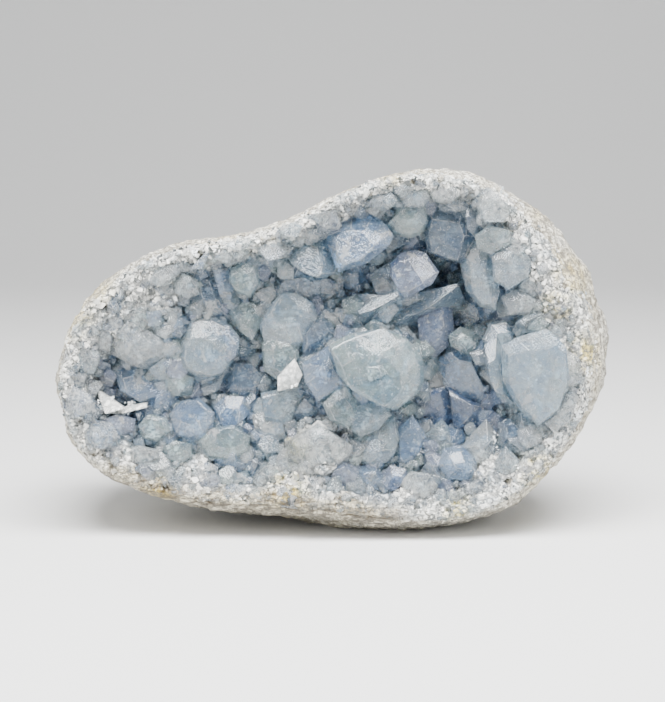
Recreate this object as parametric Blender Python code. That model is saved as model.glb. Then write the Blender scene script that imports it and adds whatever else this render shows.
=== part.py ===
"""A celestite geode: a pale rock nodule, open at the front, with a crust of blue crystals in its hollow.

The face is laid out as seen from the front: "across" runs to the right and "up" runs upwards from the
middle of the face, and "deep" runs back from the rim. All three are in millimetres. The whole nodule
then leans back a little and stands on a small flat spot.
"""

import math
import random

import bmesh
import bpy
from mathutils import Matrix, Vector, noise

MM = 0.001

# The nodule. Radii of its widest outline, every 22.5 degrees anticlockwise from the right.
OUTLINE_RADII = (99.5, 93, 82, 67, 53, 47.5, 54.5, 77.5, 96.5, 98.5, 79, 65.5, 65, 72, 84, 93.5)
# How far out the crystals reach, as a share of that radius, at the same turns.
RIM_SHARES = (
    (0.87, 0.84, 0.93, 0.94, 0.92, 0.92, 0.92, 0.93)
    + (0.95, 0.95, 0.93, 0.89, 0.85, 0.88, 0.92, 0.92)
)
# How far the rim falls back from the face's foremost plane, every 45 degrees from the right.
RIM_SETBACKS = (7, 3, 0, 3, 6, 4, 0, 3)
NODULE_DEPTH = 100.0
WIDEST_DEPTH = 34.0
BACK_ROUNDNESS = 2.6
LEAN_BACK = math.radians(6.0)
FLAT_SPOT_CUT = 4.0
TURN_STEPS = 48
OUTER_RINGS = 14
HOLLOW_RINGS = 6
LIP_SHARE = 0.035

# The hollow that the crystals line, and its deeper pockets and swellings: across, up, reach, deepening.
BOWL_DEPTH = 15.0
POCKETS = (
    (40, 19, 13, 21),
    (43, -17, 12, 21),
    (-76, -14, 9, 10),
    (-34, -6, 9, 7),
    (8, 24, 9, 6),
    (20, -7, 13, -13),
    (-62, 3, 9, -6),
    (70, -9, 12, -6),
)
CRUST_EDGE = 4.0
CRUST_MIDDLE = 10.0
TOUCH_GAP = 0.35

# Crystals that stand out on the face: across, up, half width, tallness against width, how far the tip
# stands proud of the crust, lean to the right, lean upwards, turn in degrees and form.
CRYSTALS = (
    (-15, 42.5, 4.5, 0.8, 3, 0.0, 0.2, 10, "lump"),
    (-5, 46.5, 4.5, 0.9, 2, 0.1, 0.2, 40, "point"),
    (10, 39, 13.5, 0.85, 9, 0.15, -0.35, 62, "wedge"),
    (29.5, 46.5, 6.5, 1.1, 5, 0.0, -0.1, 80, "lump"),
    (29.5, 55, 5.5, 0.8, 2, 0.0, 0.2, 30, "point"),
    (29.5, 26.5, 8.5, 1.0, 17, -0.1, 0.12, 22, "block"),
    (19, 24.5, 7, 1.6, 8, -0.3, 0.2, 70, "wedge"),
    (31, 15.5, 15.5, 0.22, 12, -0.25, 0.5, 28, "plate"),
    (8, 23, 6, 0.8, 3, 0.3, -0.3, 10, "wedge"),
    (43, 40.5, 9.5, 1.0, 9, -0.15, -0.45, 5, "block"),
    (40.5, 56, 5.5, 0.7, 2, 0.0, 0.3, 15, "point"),
    (45, 52, 4.5, 0.9, 2, 0.1, 0.0, 50, "wedge"),
    (58.5, 52, 7.5, 1.05, 4, 0.1, 0.15, 20, "lump"),
    (58.5, 38.5, 6.5, 0.85, 6, -0.2, -0.2, 0, "block"),
    (54.5, 26, 8, 1.5, 12, -0.45, 0.1, 75, "lump"),
    (65, 29, 8, 0.9, 6, -0.1, 0.2, 30, "block"),
    (67, 18, 7, 0.7, 4, -0.2, 0.0, 10, "wedge"),
    (70, -9.5, 16, 1.2, 8, -0.3, 0.05, 65, "point"),
    (60, 3.5, 6, 1.2, 9, -0.35, 0.15, 15, "wedge"),
    (68, 9.5, 5, 0.8, 6, -0.2, 0.3, 45, "point"),
    (37, 4.5, 9, 1.2, 7, 0.3, 0.25, 55, "wedge"),
    (47, -11.5, 10, 1.1, 8, -0.35, 0.3, 20, "block"),
    (39, -21, 8, 1.3, 5, 0.35, 0.15, 80, "wedge"),
    (48, -27, 9, 1.4, 6, 0.0, 0.35, 90, "wedge"),
    (47.5, 2, 5.5, 1.0, 6, 0.05, 0.1, 0, "block"),
    (53.5, -3.5, 4, 1.0, 5, -0.3, 0.1, 30, "point"),
    (38, -31.5, 5, 1.3, 8, 0.15, 0.4, 85, "point"),
    (53, -37, 8, 1.2, 7, 0.05, 0.35, 85, "wedge"),
    (63.5, -31, 5, 1.2, 5, -0.2, 0.2, 60, "point"),
    (71.5, -31.5, 5.5, 0.8, 4, -0.1, 0.1, 20, "wedge"),
    (45.5, -42.5, 7, 0.9, 5, 0.0, 0.1, 35, "point"),
    (63, -45, 5.5, 0.9, 4, 0.1, 0.0, 45, "point"),
    (82, -21, 8, 1.2, 3, 0.1, -0.1, 70, "wedge"),
    (18.5, -7, 16.5, 1.0, 10, 0.0, 0.1, 35, "lump"),
    (-3, -9.5, 9, 1.3, 9, -0.25, 0.1, 70, "wedge"),
    (0.5, -21, 7, 1.1, 6, -0.1, 0.2, 40, "block"),
    (15, -31, 10, 1.1, 6, -0.05, -0.1, 60, "lump"),
    (29, -34.5, 6, 1.7, 6, 0.3, 0.0, 85, "wedge"),
    (22.5, -47, 6, 0.8, 3, 0.1, 0.1, 10, "point"),
    (31, -49, 7, 0.9, 4, 0.0, -0.2, 25, "lump"),
    (-4.5, -36, 12, 0.8, 4, 0.0, -0.1, 0, "lump"),
    (-5.5, 2.5, 7, 1.0, 3, 0.2, 0.1, 45, "wedge"),
    (-7.5, 12, 5, 0.9, 4, 0.1, 0.2, 20, "block"),
    (-19, 10, 8.5, 1.2, 7, 0.1, 0.1, 75, "lump"),
    (-31.5, 9.5, 7.5, 0.9, 4, -0.1, 0.1, 20, "block"),
    (-7, 33, 9.5, 0.8, 5, -0.1, -0.3, 15, "block"),
    (-9, 23.5, 10, 0.6, 4, 0.0, -0.4, 0, "wedge"),
    (-20.5, 37, 8, 0.8, 5, 0.1, -0.2, 40, "point"),
    (-31, 25, 6.5, 1.0, 6, -0.05, 0.05, 10, "block"),
    (-39.5, 24.5, 4.5, 1.5, 5, 0.3, 0.1, 80, "wedge"),
    (-39.5, 36, 5, 1.0, 2, 0.0, 0.2, 20, "point"),
    (-33, 33.5, 6, 0.7, 3, 0.0, 0.1, 50, "wedge"),
    (-44.5, -3, 12, 1.25, 7, 0.3, 0.1, 60, "lump"),
    (-32.5, -12, 8, 0.9, 3, -0.2, 0.1, 25, "block"),
    (-36.5, -24, 7, 0.9, 4, 0.0, 0.2, 15, "wedge"),
    (-19, -3, 7.5, 1.0, 6, -0.2, 0.2, 40, "wedge"),
    (-14.5, -10, 4.5, 1.3, 8, 0.0, 0.2, 75, "block"),
    (-17, -21.5, 8, 0.9, 5, -0.1, 0.1, 10, "block"),
    (-8, -22, 5, 1.2, 4, 0.2, 0.3, 60, "point"),
    (-22.5, -29, 5.5, 1.0, 5, 0.1, 0.1, 45, "plate"),
    (-39, -33.5, 9, 0.75, 4, 0.0, 0.0, 5, "wedge"),
    (-51, -26.5, 8.5, 0.9, 5, 0.0, 0.1, 30, "lump"),
    (-56, -37.5, 5, 0.7, 3, 0.0, -0.1, 10, "block"),
    (-69, -39.5, 6, 0.6, 2, 0.0, -0.1, 0, "lump"),
    (-64, -29, 6, 0.9, 4, 0.1, 0.1, 35, "block"),
    (-70, -13, 8.5, 0.9, 6, -0.2, 0.1, 20, "lump"),
    (-77, -17.5, 6, 0.8, 4, 0.2, 0.4, 0, "wedge"),
    (-80, -19.5, 5, 0.9, 5, -0.1, 0.3, 15, "wedge"),
    (-88, -20.5, 6, 0.8, 3, 0.2, 0.2, 25, "point"),
    (-83, -30, 7.5, 0.8, 4, 0.1, 0.3, 0, "wedge"),
    (-76.5, -28, 5.5, 0.8, 4, 0.0, 0.2, 40, "block"),
    (-80.5, -10.5, 4, 1.0, 4, 0.0, 0.1, 30, "point"),
    (-66, -1.5, 10, 0.75, 4, 0.1, -0.3, 0, "lump"),
    (-52, 22.5, 6.5, 0.8, 4, 0.0, 0.0, 20, "wedge"),
    (-48.5, 15, 5, 0.9, 3, -0.1, 0.1, 60, "point"),
    (-60, 24.5, 6.5, 0.8, 2, 0.0, 0.2, 15, "block"),
    (-48.5, 32.5, 5.5, 0.9, 2, 0.0, 0.2, 45, "point"),
    (-87.5, -4.5, 6, 1.0, 2, 0.0, 0.0, 30, "lump"),
)
SMALL_SPACING = 8.9
SMALL_TRIES = 3000
CRYSTAL_ROOT = 12.0
# Celestite prism faces meet at about 76 and 104 degrees.
PRISM_ANGLE = math.radians(52.0)


def around(values, turn):
    """A smooth closed curve through values that stand at even turns (Catmull-Rom)."""
    place = (turn / math.tau % 1.0) * len(values)
    start = int(place)
    share = place - start
    before, here, after, beyond = (values[(start + step) % len(values)] for step in (-1, 0, 1, 2))
    return 0.5 * (
        2 * here
        + (after - before) * share
        + (2 * before - 5 * here + 4 * after - beyond) * share**2
        + (3 * here - before - 3 * after + beyond) * share**3
    )


def rim_radius(turn):
    """Where the crust of crystals ends at the rim, in millimetres from the middle of the face."""
    return around(OUTLINE_RADII, turn) * around(RIM_SHARES, turn)


def face_depth(across, up):
    """Depth of the crust's front behind the rim."""
    out = math.hypot(across, up) / rim_radius(math.atan2(up, across))
    inside = max(0.0, 1.0 - out**4)
    deep = BOWL_DEPTH * inside + around(RIM_SETBACKS, math.atan2(up, across)) * min(1.0, out) ** 2
    for middle_across, middle_up, reach, deepening in POCKETS:
        away = ((across - middle_across) ** 2 + (up - middle_up) ** 2) / (2 * reach**2)
        deep += deepening * math.exp(-away) * min(1.0, 2.5 * inside)
    return deep - 1.2


def wall_depth(across, up):
    """Depth of the rock wall of the hollow, behind the crust."""
    out = math.hypot(across, up) / rim_radius(math.atan2(up, across))
    thickness = CRUST_EDGE + (CRUST_MIDDLE - CRUST_EDGE) * max(0.0, 1.0 - out**3)
    return face_depth(across, up) + thickness


def face_outwards(work):
    bmesh.ops.recalc_face_normals(work, faces=work.faces[:])
    if work.calc_volume(signed=True) < 0:
        bmesh.ops.reverse_faces(work, faces=work.faces[:])
    work.normal_update()


def new_object(name, work):
    mesh = bpy.data.meshes.new(name)
    work.to_mesh(mesh)
    work.free()
    made = bpy.data.objects.new(name, mesh)
    bpy.context.scene.collection.objects.link(made)
    return made


def nodule_place(turn, ring):
    """A point of the nodule, from the middle of its back (ring 0) over the rim into the hollow."""
    radius = around(OUTLINE_RADII, turn)
    rim = around(RIM_SHARES, turn)
    setback = around(RIM_SETBACKS, turn)
    widest_ring = OUTER_RINGS - 6
    if ring <= widest_ring:
        swing = math.radians(90.0) * ring / widest_ring
        share = math.sin(swing) ** (2.0 / BACK_ROUNDNESS)
        back = max(0.0, math.cos(swing)) ** (2.0 / BACK_ROUNDNESS)
        deep = WIDEST_DEPTH + (NODULE_DEPTH - WIDEST_DEPTH) * back
    elif ring <= OUTER_RINGS:
        swing = math.radians(90.0) * (OUTER_RINGS - ring) / (OUTER_RINGS - widest_ring)
        share = rim + (1.0 - rim) * math.sin(swing)
        deep = setback + (WIDEST_DEPTH - setback) * (1.0 - math.cos(swing))
    else:
        inward = (ring - OUTER_RINGS - 1) / HOLLOW_RINGS
        share = (rim - LIP_SHARE) * (1.0 - inward)
        across = radius * share * math.cos(turn)
        up = radius * share * math.sin(turn)
        deep = wall_depth(across, up) if inward > 0 else setback + 1.0
    return radius * share * math.cos(turn), radius * share * math.sin(turn), deep


def roughen(place, ring):
    """Lumps, low ledges and pits of the rock skin, strongest on the back and faint at the rim."""
    strength = min(1.0, 0.15 + 0.85 * (OUTER_RINGS - ring) / OUTER_RINGS)
    lump = 2.6 * noise.noise(place / 26.0) + 1.3 * noise.noise(place / 11.0 + Vector((7, 3, 1)))
    ledge = 0.7 * math.sin(place.z / 3.1 + 2.0 * noise.noise(place / 30.0))
    pit = -2.4 * max(0.0, noise.noise(place / 15.0 + Vector((2, 9, 4))) - 0.35) / 0.3
    return strength * (lump + ledge + pit)


def make_nodule(grow=0.0):
    """The rock as a closed ball whose front is pushed in to form the hollow, grown all over by grow."""
    rings = OUTER_RINGS + 1 + HOLLOW_RINGS
    work = bmesh.new()
    bmesh.ops.create_uvsphere(work, u_segments=TURN_STEPS, v_segments=rings, radius=1.0)
    skin = []
    for vert in work.verts:
        ring = round(math.acos(max(-1.0, min(1.0, vert.co.z))) / math.pi * rings)
        across, up, deep = nodule_place(math.atan2(vert.co.y, vert.co.x), ring)
        vert.co = Vector((across, deep, up))
        if ring <= OUTER_RINGS:
            skin.append((vert, ring))
    face_outwards(work)
    for vert, ring in skin:
        vert.co += vert.normal * roughen(vert.co.copy(), ring)
    if grow:
        work.normal_update()
        for vert, away in [(vert, vert.normal * vert.calc_shell_factor()) for vert in work.verts]:
            vert.co += away * grow
    bmesh.ops.triangulate(work, faces=work.faces[:])
    return work


def make_bed():
    """The massive crystal layer that the crystals grow from, reaching past the rock wall at its back."""
    rings = 2 * HOLLOW_RINGS + 2
    half = rings // 2
    work = bmesh.new()
    bmesh.ops.create_uvsphere(work, u_segments=TURN_STEPS, v_segments=rings, radius=1.0)
    for vert in work.verts:
        ring = round(math.acos(max(-1.0, min(1.0, vert.co.z))) / math.pi * rings)
        turn = math.atan2(vert.co.y, vert.co.x)
        rim = around(RIM_SHARES, turn) - 0.5 * LIP_SHARE
        share = min(1.0, (half - abs(ring - half)) / (half - 1)) * rim
        across = around(OUTLINE_RADII, turn) * share * math.cos(turn)
        up = around(OUTLINE_RADII, turn) * share * math.sin(turn)
        deep = face_depth(across, up)
        if ring == half:
            deep += 1.5
        elif ring < half:
            deep = wall_depth(across, up) + 4.0
        vert.co = Vector((across, deep, up))
    face_outwards(work)
    bmesh.ops.triangulate(work, faces=work.faces[:])
    return work


def cut_face(work, distance, normal):
    """Grind one flat face on a crystal, distance out from its middle."""
    normal = Vector(normal).normalized()
    whole = work.verts[:] + work.edges[:] + work.faces[:]
    cut = bmesh.ops.bisect_plane(
        work, geom=whole, dist=1e-6, plane_co=normal * distance, plane_no=normal, clear_outer=True
    )
    rim = [piece for piece in cut["geom_cut"] if isinstance(piece, bmesh.types.BMEdge)]
    if rim:
        bmesh.ops.holes_fill(work, edges=rim, sides=0)


def shape_crystal(form, length, rng):
    """One crystal about +Z with its tip at length and half width 1, cut from a bar face by face."""
    work = bmesh.new()
    bar = Matrix.Translation((0, 0, 0.45 * length)) @ Matrix.Diagonal((2.0, 2.0, 1.1 * length, 1.0))
    bmesh.ops.create_cube(work, size=1.0, matrix=bar)
    side = math.cos(PRISM_ANGLE), math.sin(PRISM_ANGLE)
    for right in (-1, 1):
        for above in (-1, 1):
            if form not in ("plate", "chip"):
                cut_face(work, rng.uniform(0.74, 0.86), (right * side[0], above * side[1], 0))
    if form == "wedge":
        for right in (-1, 1):
            cut_face(work, length * rng.uniform(0.62, 0.72), (right * 0.72, 0, 0.70))
            cut_face(work, length * rng.uniform(0.72, 0.80), (0, right * 0.80, 0.60))
    elif form == "point":
        for right, above in ((1, 0.15), (-0.15, 1), (-1, -0.15), (0.15, -1)):
            cut_face(work, length * rng.uniform(0.66, 0.74), (right * 0.66, above * 0.66, 0.74))
    elif form == "lump":
        for step in range(5):
            turn = math.tau * (step + rng.uniform(-0.2, 0.2)) / 5
            slope = rng.uniform(0.35, 0.5)
            reach = length * rng.uniform(0.86, 0.92)
            cut_face(work, reach, (slope * math.cos(turn), slope * math.sin(turn), 1.0))
            if step < 4:
                cut_face(work, length * 0.62 + 0.36, (math.cos(turn + 0.6), math.sin(turn + 0.6), 1.0))
    else:
        for right, above in ((1, 1), (-1, 1), (-1, -1), (1, -1)):
            if rng.random() < 0.7:
                reach = rng.uniform(0.78, 0.88)
                cut_face(work, reach * (length + 1.0) * 0.62, (right * 0.62, above * 0.5, 0.62))
    return work


def add_crystal(whole, across, up, half_width, tallness, stands, lean, turn, form, rng):
    """Place a crystal so that its tip is seen at across, up and stands proud of the crust."""
    tip = Vector((across, face_depth(across, up) - stands, up))
    points_to = Vector((lean[0], -1.0, lean[1])).normalized()
    to_rim = rim_radius(math.atan2(up, across)) - math.hypot(across, up)
    root = max(4.0, min(max(CRYSTAL_ROOT, 1.6 * stands), 3.0 + 0.6 * to_rim))
    length = max(1.0, (stands + root) / half_width)
    crystal = shape_crystal(form, length, rng)
    shape = Matrix.Diagonal((half_width, half_width * tallness, half_width, 1.0))
    facing = points_to.to_track_quat("Z", "Y").to_matrix().to_4x4()
    place = Matrix.Translation(tip - points_to * length * half_width)
    crystal.transform(place @ facing @ Matrix.Rotation(math.radians(turn), 4, "Z") @ shape)
    face_outwards(crystal)
    mesh = bpy.data.meshes.new("crystal")
    crystal.to_mesh(mesh)
    crystal.free()
    whole.from_mesh(mesh)
    bpy.data.meshes.remove(mesh)


def small_places(rng):
    """Even but irregular places for the smaller crystals that fill between the large ones."""
    places = []
    for _ in range(SMALL_TRIES):
        turn = rng.uniform(0.0, math.tau)
        out = math.sqrt(rng.random()) * 0.96
        across = rim_radius(turn) * out * math.cos(turn)
        up = rim_radius(turn) * out * math.sin(turn)
        clear_of_large = all(
            math.hypot(across - row[0], up - row[1]) > 0.75 * row[2] + 1.5 for row in CRYSTALS
        )
        if clear_of_large and all(math.dist((across, up), other) > SMALL_SPACING for other in places):
            places.append((across, up))
    return places


def make_crystals():
    rng = random.Random(38)
    whole = bmesh.new()
    for across, up, half_width, tallness, stands, right, above, turn, form in CRYSTALS:
        add_crystal(whole, across, up, half_width, tallness, stands, (right, above), turn, form, rng)
    for across, up in small_places(rng):
        half_width = rng.uniform(2.6, 4.0)
        tallness = rng.uniform(0.7, 1.2)
        stands = rng.uniform(1.0, 3.0)
        lean = (rng.uniform(-0.4, 0.4), rng.uniform(-0.4, 0.4))
        turn = rng.uniform(0, 180)
        form = rng.choice(("wedge", "point", "chip"))
        add_crystal(whole, across, up, half_width, tallness, stands, lean, turn, form, rng)
    return whole


def combine(target, tool, operation, self_crossing=False):
    """Apply a Boolean and keep its result as the target's mesh."""
    boolean = target.modifiers.new("combine", "BOOLEAN")
    boolean.operation = operation
    boolean.solver = "EXACT"
    boolean.use_self = self_crossing
    boolean.object = tool
    result = bpy.data.meshes.new_from_object(target.evaluated_get(bpy.context.evaluated_depsgraph_get()))
    target.modifiers.clear()
    target.data = result
    bpy.data.objects.remove(tool)


def keep_largest_body(target):
    """Drop crumbs that the cut left loose, and tidy what stays."""
    work = bmesh.new()
    work.from_mesh(target.data)
    unseen = set(work.verts)
    bodies = []
    while unseen:
        front = [unseen.pop()]
        body = list(front)
        while front:
            for edge in front.pop().link_edges:
                for vert in edge.verts:
                    if vert in unseen:
                        unseen.remove(vert)
                        front.append(vert)
                        body.append(vert)
        bodies.append(body)
    bodies.sort(key=len)
    crumbs = [vert for body in bodies[:-1] for vert in body]
    bmesh.ops.delete(work, geom=crumbs, context="VERTS")
    bmesh.ops.dissolve_limit(
        work, angle_limit=math.radians(0.2), verts=work.verts[:], edges=work.edges[:]
    )
    bmesh.ops.triangulate(work, faces=work.faces[:])
    work.to_mesh(target.data)
    work.free()


def material(name, colour, roughness, transmission=0.0):
    made = bpy.data.materials.new(name)
    made.use_nodes = True
    shader = made.node_tree.nodes["Principled BSDF"]
    shader.inputs["Base Color"].default_value = (*colour, 1.0)
    shader.inputs["Roughness"].default_value = roughness
    shader.inputs["Transmission Weight"].default_value = transmission
    return made


def footprint(targets):
    """The middle of the ground that the pieces cover, and their lowest height."""
    points = [vert.co for target in targets for vert in target.data.vertices]
    low = Vector([min(point[axis] for point in points) for axis in range(3)])
    high = Vector([max(point[axis] for point in points) for axis in range(3)])
    return (low + high) / 2, low.z


def cut_base(target):
    """Flatten the small spot that the nodule stands on, at z = 0."""
    work = bmesh.new()
    work.from_mesh(target.data)
    cut_face(work, 0.0, (0, 0, -1))
    bmesh.ops.triangulate(work, faces=work.faces[:])
    work.to_mesh(target.data)
    work.free()


def main():
    for old in list(bpy.data.objects):
        bpy.data.objects.remove(old)
    rind = new_object("rock_rind", make_nodule())
    grown_rind = new_object("grown_rind", make_nodule(grow=TOUCH_GAP))
    crust = new_object("crystal_crust", make_bed())
    crystals = new_object("crystals", make_crystals())
    combine(crust, crystals, "UNION", self_crossing=True)
    combine(crust, grown_rind, "DIFFERENCE")
    keep_largest_body(crust)

    lean = Matrix.Rotation(-LEAN_BACK, 4, "X")
    for target in (rind, crust):
        target.data.transform(lean)
    middle, lowest = footprint((rind, crust))
    settle = Matrix.Translation((-middle.x, -middle.y, -lowest - FLAT_SPOT_CUT))
    for target in (rind, crust):
        target.data.transform(Matrix.Scale(MM, 4) @ settle)
    cut_base(rind)
    rind.data.shade_smooth()

    for target, colour, roughness, transmission in (
        (rind, (0.62, 0.58, 0.50), 0.85, 0.0),
        (crust, (0.40, 0.50, 0.58), 0.15, 0.5),
    ):
        target.data.materials.clear()
        target.data.materials.append(material(target.name, colour, roughness, transmission))


main()
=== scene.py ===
import math
import random
import bmesh
import bpy
from mathutils import Matrix, Vector, noise


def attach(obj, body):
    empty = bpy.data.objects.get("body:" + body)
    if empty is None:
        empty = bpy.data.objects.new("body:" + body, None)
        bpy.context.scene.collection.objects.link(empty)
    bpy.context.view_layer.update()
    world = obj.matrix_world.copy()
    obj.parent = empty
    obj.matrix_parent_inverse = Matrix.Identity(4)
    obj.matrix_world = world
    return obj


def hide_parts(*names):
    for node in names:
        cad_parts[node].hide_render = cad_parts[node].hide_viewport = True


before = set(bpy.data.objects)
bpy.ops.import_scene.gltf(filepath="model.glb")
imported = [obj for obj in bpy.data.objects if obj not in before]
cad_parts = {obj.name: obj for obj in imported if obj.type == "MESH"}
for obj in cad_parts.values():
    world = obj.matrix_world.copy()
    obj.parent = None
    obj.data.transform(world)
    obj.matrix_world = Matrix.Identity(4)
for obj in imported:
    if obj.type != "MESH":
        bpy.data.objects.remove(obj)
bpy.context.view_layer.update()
mm = 0.001
noise.seed_set(11)  # otherwise noise_vector starts from the clock

# The geode's own frame, in millimetres: across to the right, up, and deep into the nodule from its rim.
nodule = {
    "outline": (99.5, 93, 82, 67, 53, 47.5, 54.5, 77.5, 96.5, 98.5, 79, 65.5, 65, 72, 84, 93.5),
    "rimShares": (0.87, 0.84, 0.93, 0.94, 0.92, 0.92, 0.92, 0.93,
                  0.95, 0.95, 0.93, 0.89, 0.85, 0.88, 0.92, 0.92),
    "rimSetbacks": (7, 3, 0, 3, 6, 4, 0, 3),
    "depth": 100.0,
    "widestDepth": 34.0,
    "backRoundness": 2.6,
    "leanDegrees": 6.0,
    "stands": (-0.36, -46.59, 67.27),  # moves the leaned nodule onto its flat spot
    "lipShare": 0.035,
    "outerRings": 14,
    "hollowRings": 6,
}
hollow = {
    "bowlDepth": 15.0,
    "crustEdge": 4.0,
    "crustMiddle": 10.0,
    "crustRise": 1.2,
    # across, up, reach, deepening
    "pockets": (
        (40, 19, 13, 21),
        (43, -17, 12, 21),
        (-76, -14, 9, 10),
        (-34, -6, 9, 7),
        (8, 24, 9, 6),
        (20, -7, 13, -13),
        (-62, 3, 9, -6),
        (70, -9, 12, -6),
        (-4, -36, 7, -5.5),
    ),
    # where the crust is white and sugary instead of clear: across, up, reach
    "sugarPatches": (
        (-76, 19, 12), (-60, 20, 9), (-73, 4, 8), (-46, 33, 6), (-22, 40, 6), (2, 50, 6),
        (35, 59, 6), (76, 42, 9), (83, 24, 9), (87, 3, 8), (-4, -36, 11), (-14, -51, 11),
        (-48, -45, 7), (31, -52, 7), (-73, -40, 6), (66, -48, 7), (88, -26, 5), (56, -43, 7),
    ),
    # where iron has stained it yellow: across, up, reach
    "stains": (
        (74, 48, 5), (85, 26, 8), (79, 14, 6), (90, -2, 8), (-13, -36, 6), (-15, -50, 8),
        (72, -43, 7), (44, -56, 6), (-92, 12, 9), (-84, 22, 8), (20, 61, 5), (-60, -50, 7),
    ),
}


def stainAt(across, up):
    stain = 0.0
    for middleAcross, middleUp, reach in hollow["stains"]:
        away = math.hypot(across - middleAcross, up - middleUp) / reach
        stain = max(stain, 1.25 - away)
    return min(1.0, stain)


def earthAt(across, up):  # the layered, earthy band under the hollow
    turn = math.degrees(math.atan2(up, across)) % 360
    window = min(1.0, max(0.0, (turn - 198) / 14), max(0.0, (302 - turn) / 14))
    edge = 0.91 + 0.05 * noise.noise(Vector((across / 9.0, up / 4.0, 8.0)))
    return max(0.0, window) * max(0.0, min(1.0, (outShare(across, up) - edge) / 0.06))


def around(values, turn):  # a smooth closed curve through values at even turns
    place = (turn / math.tau % 1.0) * len(values)
    start = int(place)
    share = place - start
    before, here, after, beyond = (values[(start + step) % len(values)] for step in (-1, 0, 1, 2))
    return 0.5 * (2 * here + (after - before) * share
                  + (2 * before - 5 * here + 4 * after - beyond) * share**2
                  + (3 * here - before - 3 * after + beyond) * share**3)


def rimRadius(turn):
    return around(nodule["outline"], turn) * around(nodule["rimShares"], turn)


def outShare(across, up):
    return math.hypot(across, up) / rimRadius(math.atan2(up, across))


def hollowSpot(turn, out):  # across and up, out being a share of the way to the rim
    radius = rimRadius(turn) * out
    return radius * math.cos(turn), radius * math.sin(turn)


def faceDepth(across, up):  # the crust's mean front
    out = outShare(across, up)
    inside = max(0.0, 1.0 - out**4)
    setback = around(nodule["rimSetbacks"], math.atan2(up, across))
    deep = hollow["bowlDepth"] * inside + setback * min(1.0, out)**2
    for middleAcross, middleUp, reach, deepening in hollow["pockets"]:
        away = ((across - middleAcross)**2 + (up - middleUp)**2) / (2 * reach**2)
        deep += deepening * math.exp(-away) * min(1.0, 2.5 * inside)
    return deep - hollow["crustRise"]


def wallDepth(across, up):  # the rock wall behind the crust
    thickness = hollow["crustMiddle"] - hollow["crustEdge"]
    return faceDepth(across, up) + hollow["crustEdge"] + thickness * max(0.0, 1.0 - outShare(across, up)**3)


def sugarAt(across, up):  # how white and sugary the crust is, from 0 to 1
    sugar = max(0.0, min(1.0, (outShare(across, up) - 0.84) / 0.12))
    for middleAcross, middleUp, reach in hollow["sugarPatches"]:
        away = math.hypot(across - middleAcross, up - middleUp) / reach
        away += 0.45 * noise.noise(Vector((across, up, 3.0)) / 5.0)
        sugar = max(sugar, min(1.0, 2.2 - 1.7 * away))
    return max(0.0, sugar)


def nodulePlace(turn, ring):  # ring 0 is the middle of the back, and the rings run over the rim
    radius = around(nodule["outline"], turn)
    rim = around(nodule["rimShares"], turn)
    setback = around(nodule["rimSetbacks"], turn)
    outerRings = nodule["outerRings"]
    widestRing = outerRings - 6
    widest = nodule["widestDepth"]
    if ring <= widestRing:
        swing = math.radians(90.0) * ring / widestRing
        share = max(0.0, math.sin(swing)) ** (2.0 / nodule["backRoundness"])
        back = max(0.0, math.cos(swing)) ** (2.0 / nodule["backRoundness"])
        deep = widest + (nodule["depth"] - widest) * back
    elif ring <= outerRings:
        swing = math.radians(90.0) * (outerRings - ring) / (outerRings - widestRing)
        share = rim + (1.0 - rim) * math.sin(swing)
        deep = setback + (widest - setback) * (1.0 - math.cos(swing))
    elif ring <= outerRings + 1:
        share = rim - nodule["lipShare"] * (ring - outerRings)
        deep = setback + (ring - outerRings)
    else:
        inward = (ring - outerRings - 1) / nodule["hollowRings"]
        share = (rim - nodule["lipShare"]) * (1.0 - inward)
        deep = wallDepth(radius * share * math.cos(turn), radius * share * math.sin(turn))
    return Vector((radius * share * math.cos(turn), deep, radius * share * math.sin(turn)))


def settleMatrix():
    lean = Matrix.Rotation(-math.radians(nodule["leanDegrees"]), 4, "X")
    return Matrix.Scale(mm, 4) @ Matrix.Translation(nodule["stands"]) @ lean


def faceOutwards(work):
    bmesh.ops.recalc_face_normals(work, faces=work.faces[:])
    if work.calc_volume(signed=True) < 0:
        bmesh.ops.reverse_faces(work, faces=work.faces[:])
    work.normal_update()


def toMesh(name, work):
    mesh = bpy.data.meshes.new(name)
    work.to_mesh(mesh)
    work.free()
    return mesh


def newPiece(name, work, smooth=False):
    mesh = toMesh(name, work)
    piece = bpy.data.objects.new(name, mesh)
    bpy.context.scene.collection.objects.link(piece)
    for polygon in mesh.polygons:
        polygon.use_smooth = smooth
    return piece


def cutFace(work, distance, normal):  # grinds one flat face, distance out from the middle
    normal = Vector(normal).normalized()
    whole = work.verts[:] + work.edges[:] + work.faces[:]
    cut = bmesh.ops.bisect_plane(work, geom=whole, dist=1e-6, plane_co=normal * distance,
                                 plane_no=normal, clear_outer=True)
    rim = [piece for piece in cut["geom_cut"] if isinstance(piece, bmesh.types.BMEdge)]
    if rim:
        bmesh.ops.holes_fill(work, edges=rim, sides=0)


def ballRow(vert, rows):  # which row of a dense ball it is in, counted from the first pole
    return round(math.acos(max(-1.0, min(1.0, vert.co.z))) / math.pi * rows)


# Rock skin
rock = {
    "turnSteps": 440,
    "outerSteps": 190,
    "hollowSteps": 14,
    "grain": 0.75,
    "pit": 1.5,
    "layers": 0.25,  # how much its layers show away from the earthy band
    "colours": {
        "dull": (0.66, 0.60, 0.46, 1),
        "pale": (0.96, 0.94, 0.85, 1),
        "stain": (0.66, 0.57, 0.30, 1),
        "grit": (0.09, 0.08, 0.065, 1),
    },
}


def rockRing(step):  # a row of the dense ball as the nodule's ring number
    if step <= rock["outerSteps"]:
        return nodule["outerRings"] * step / rock["outerSteps"]
    inner = (step - rock["outerSteps"]) / rock["hollowSteps"]
    return nodule["outerRings"] + (1 + nodule["hollowRings"]) * inner


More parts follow.
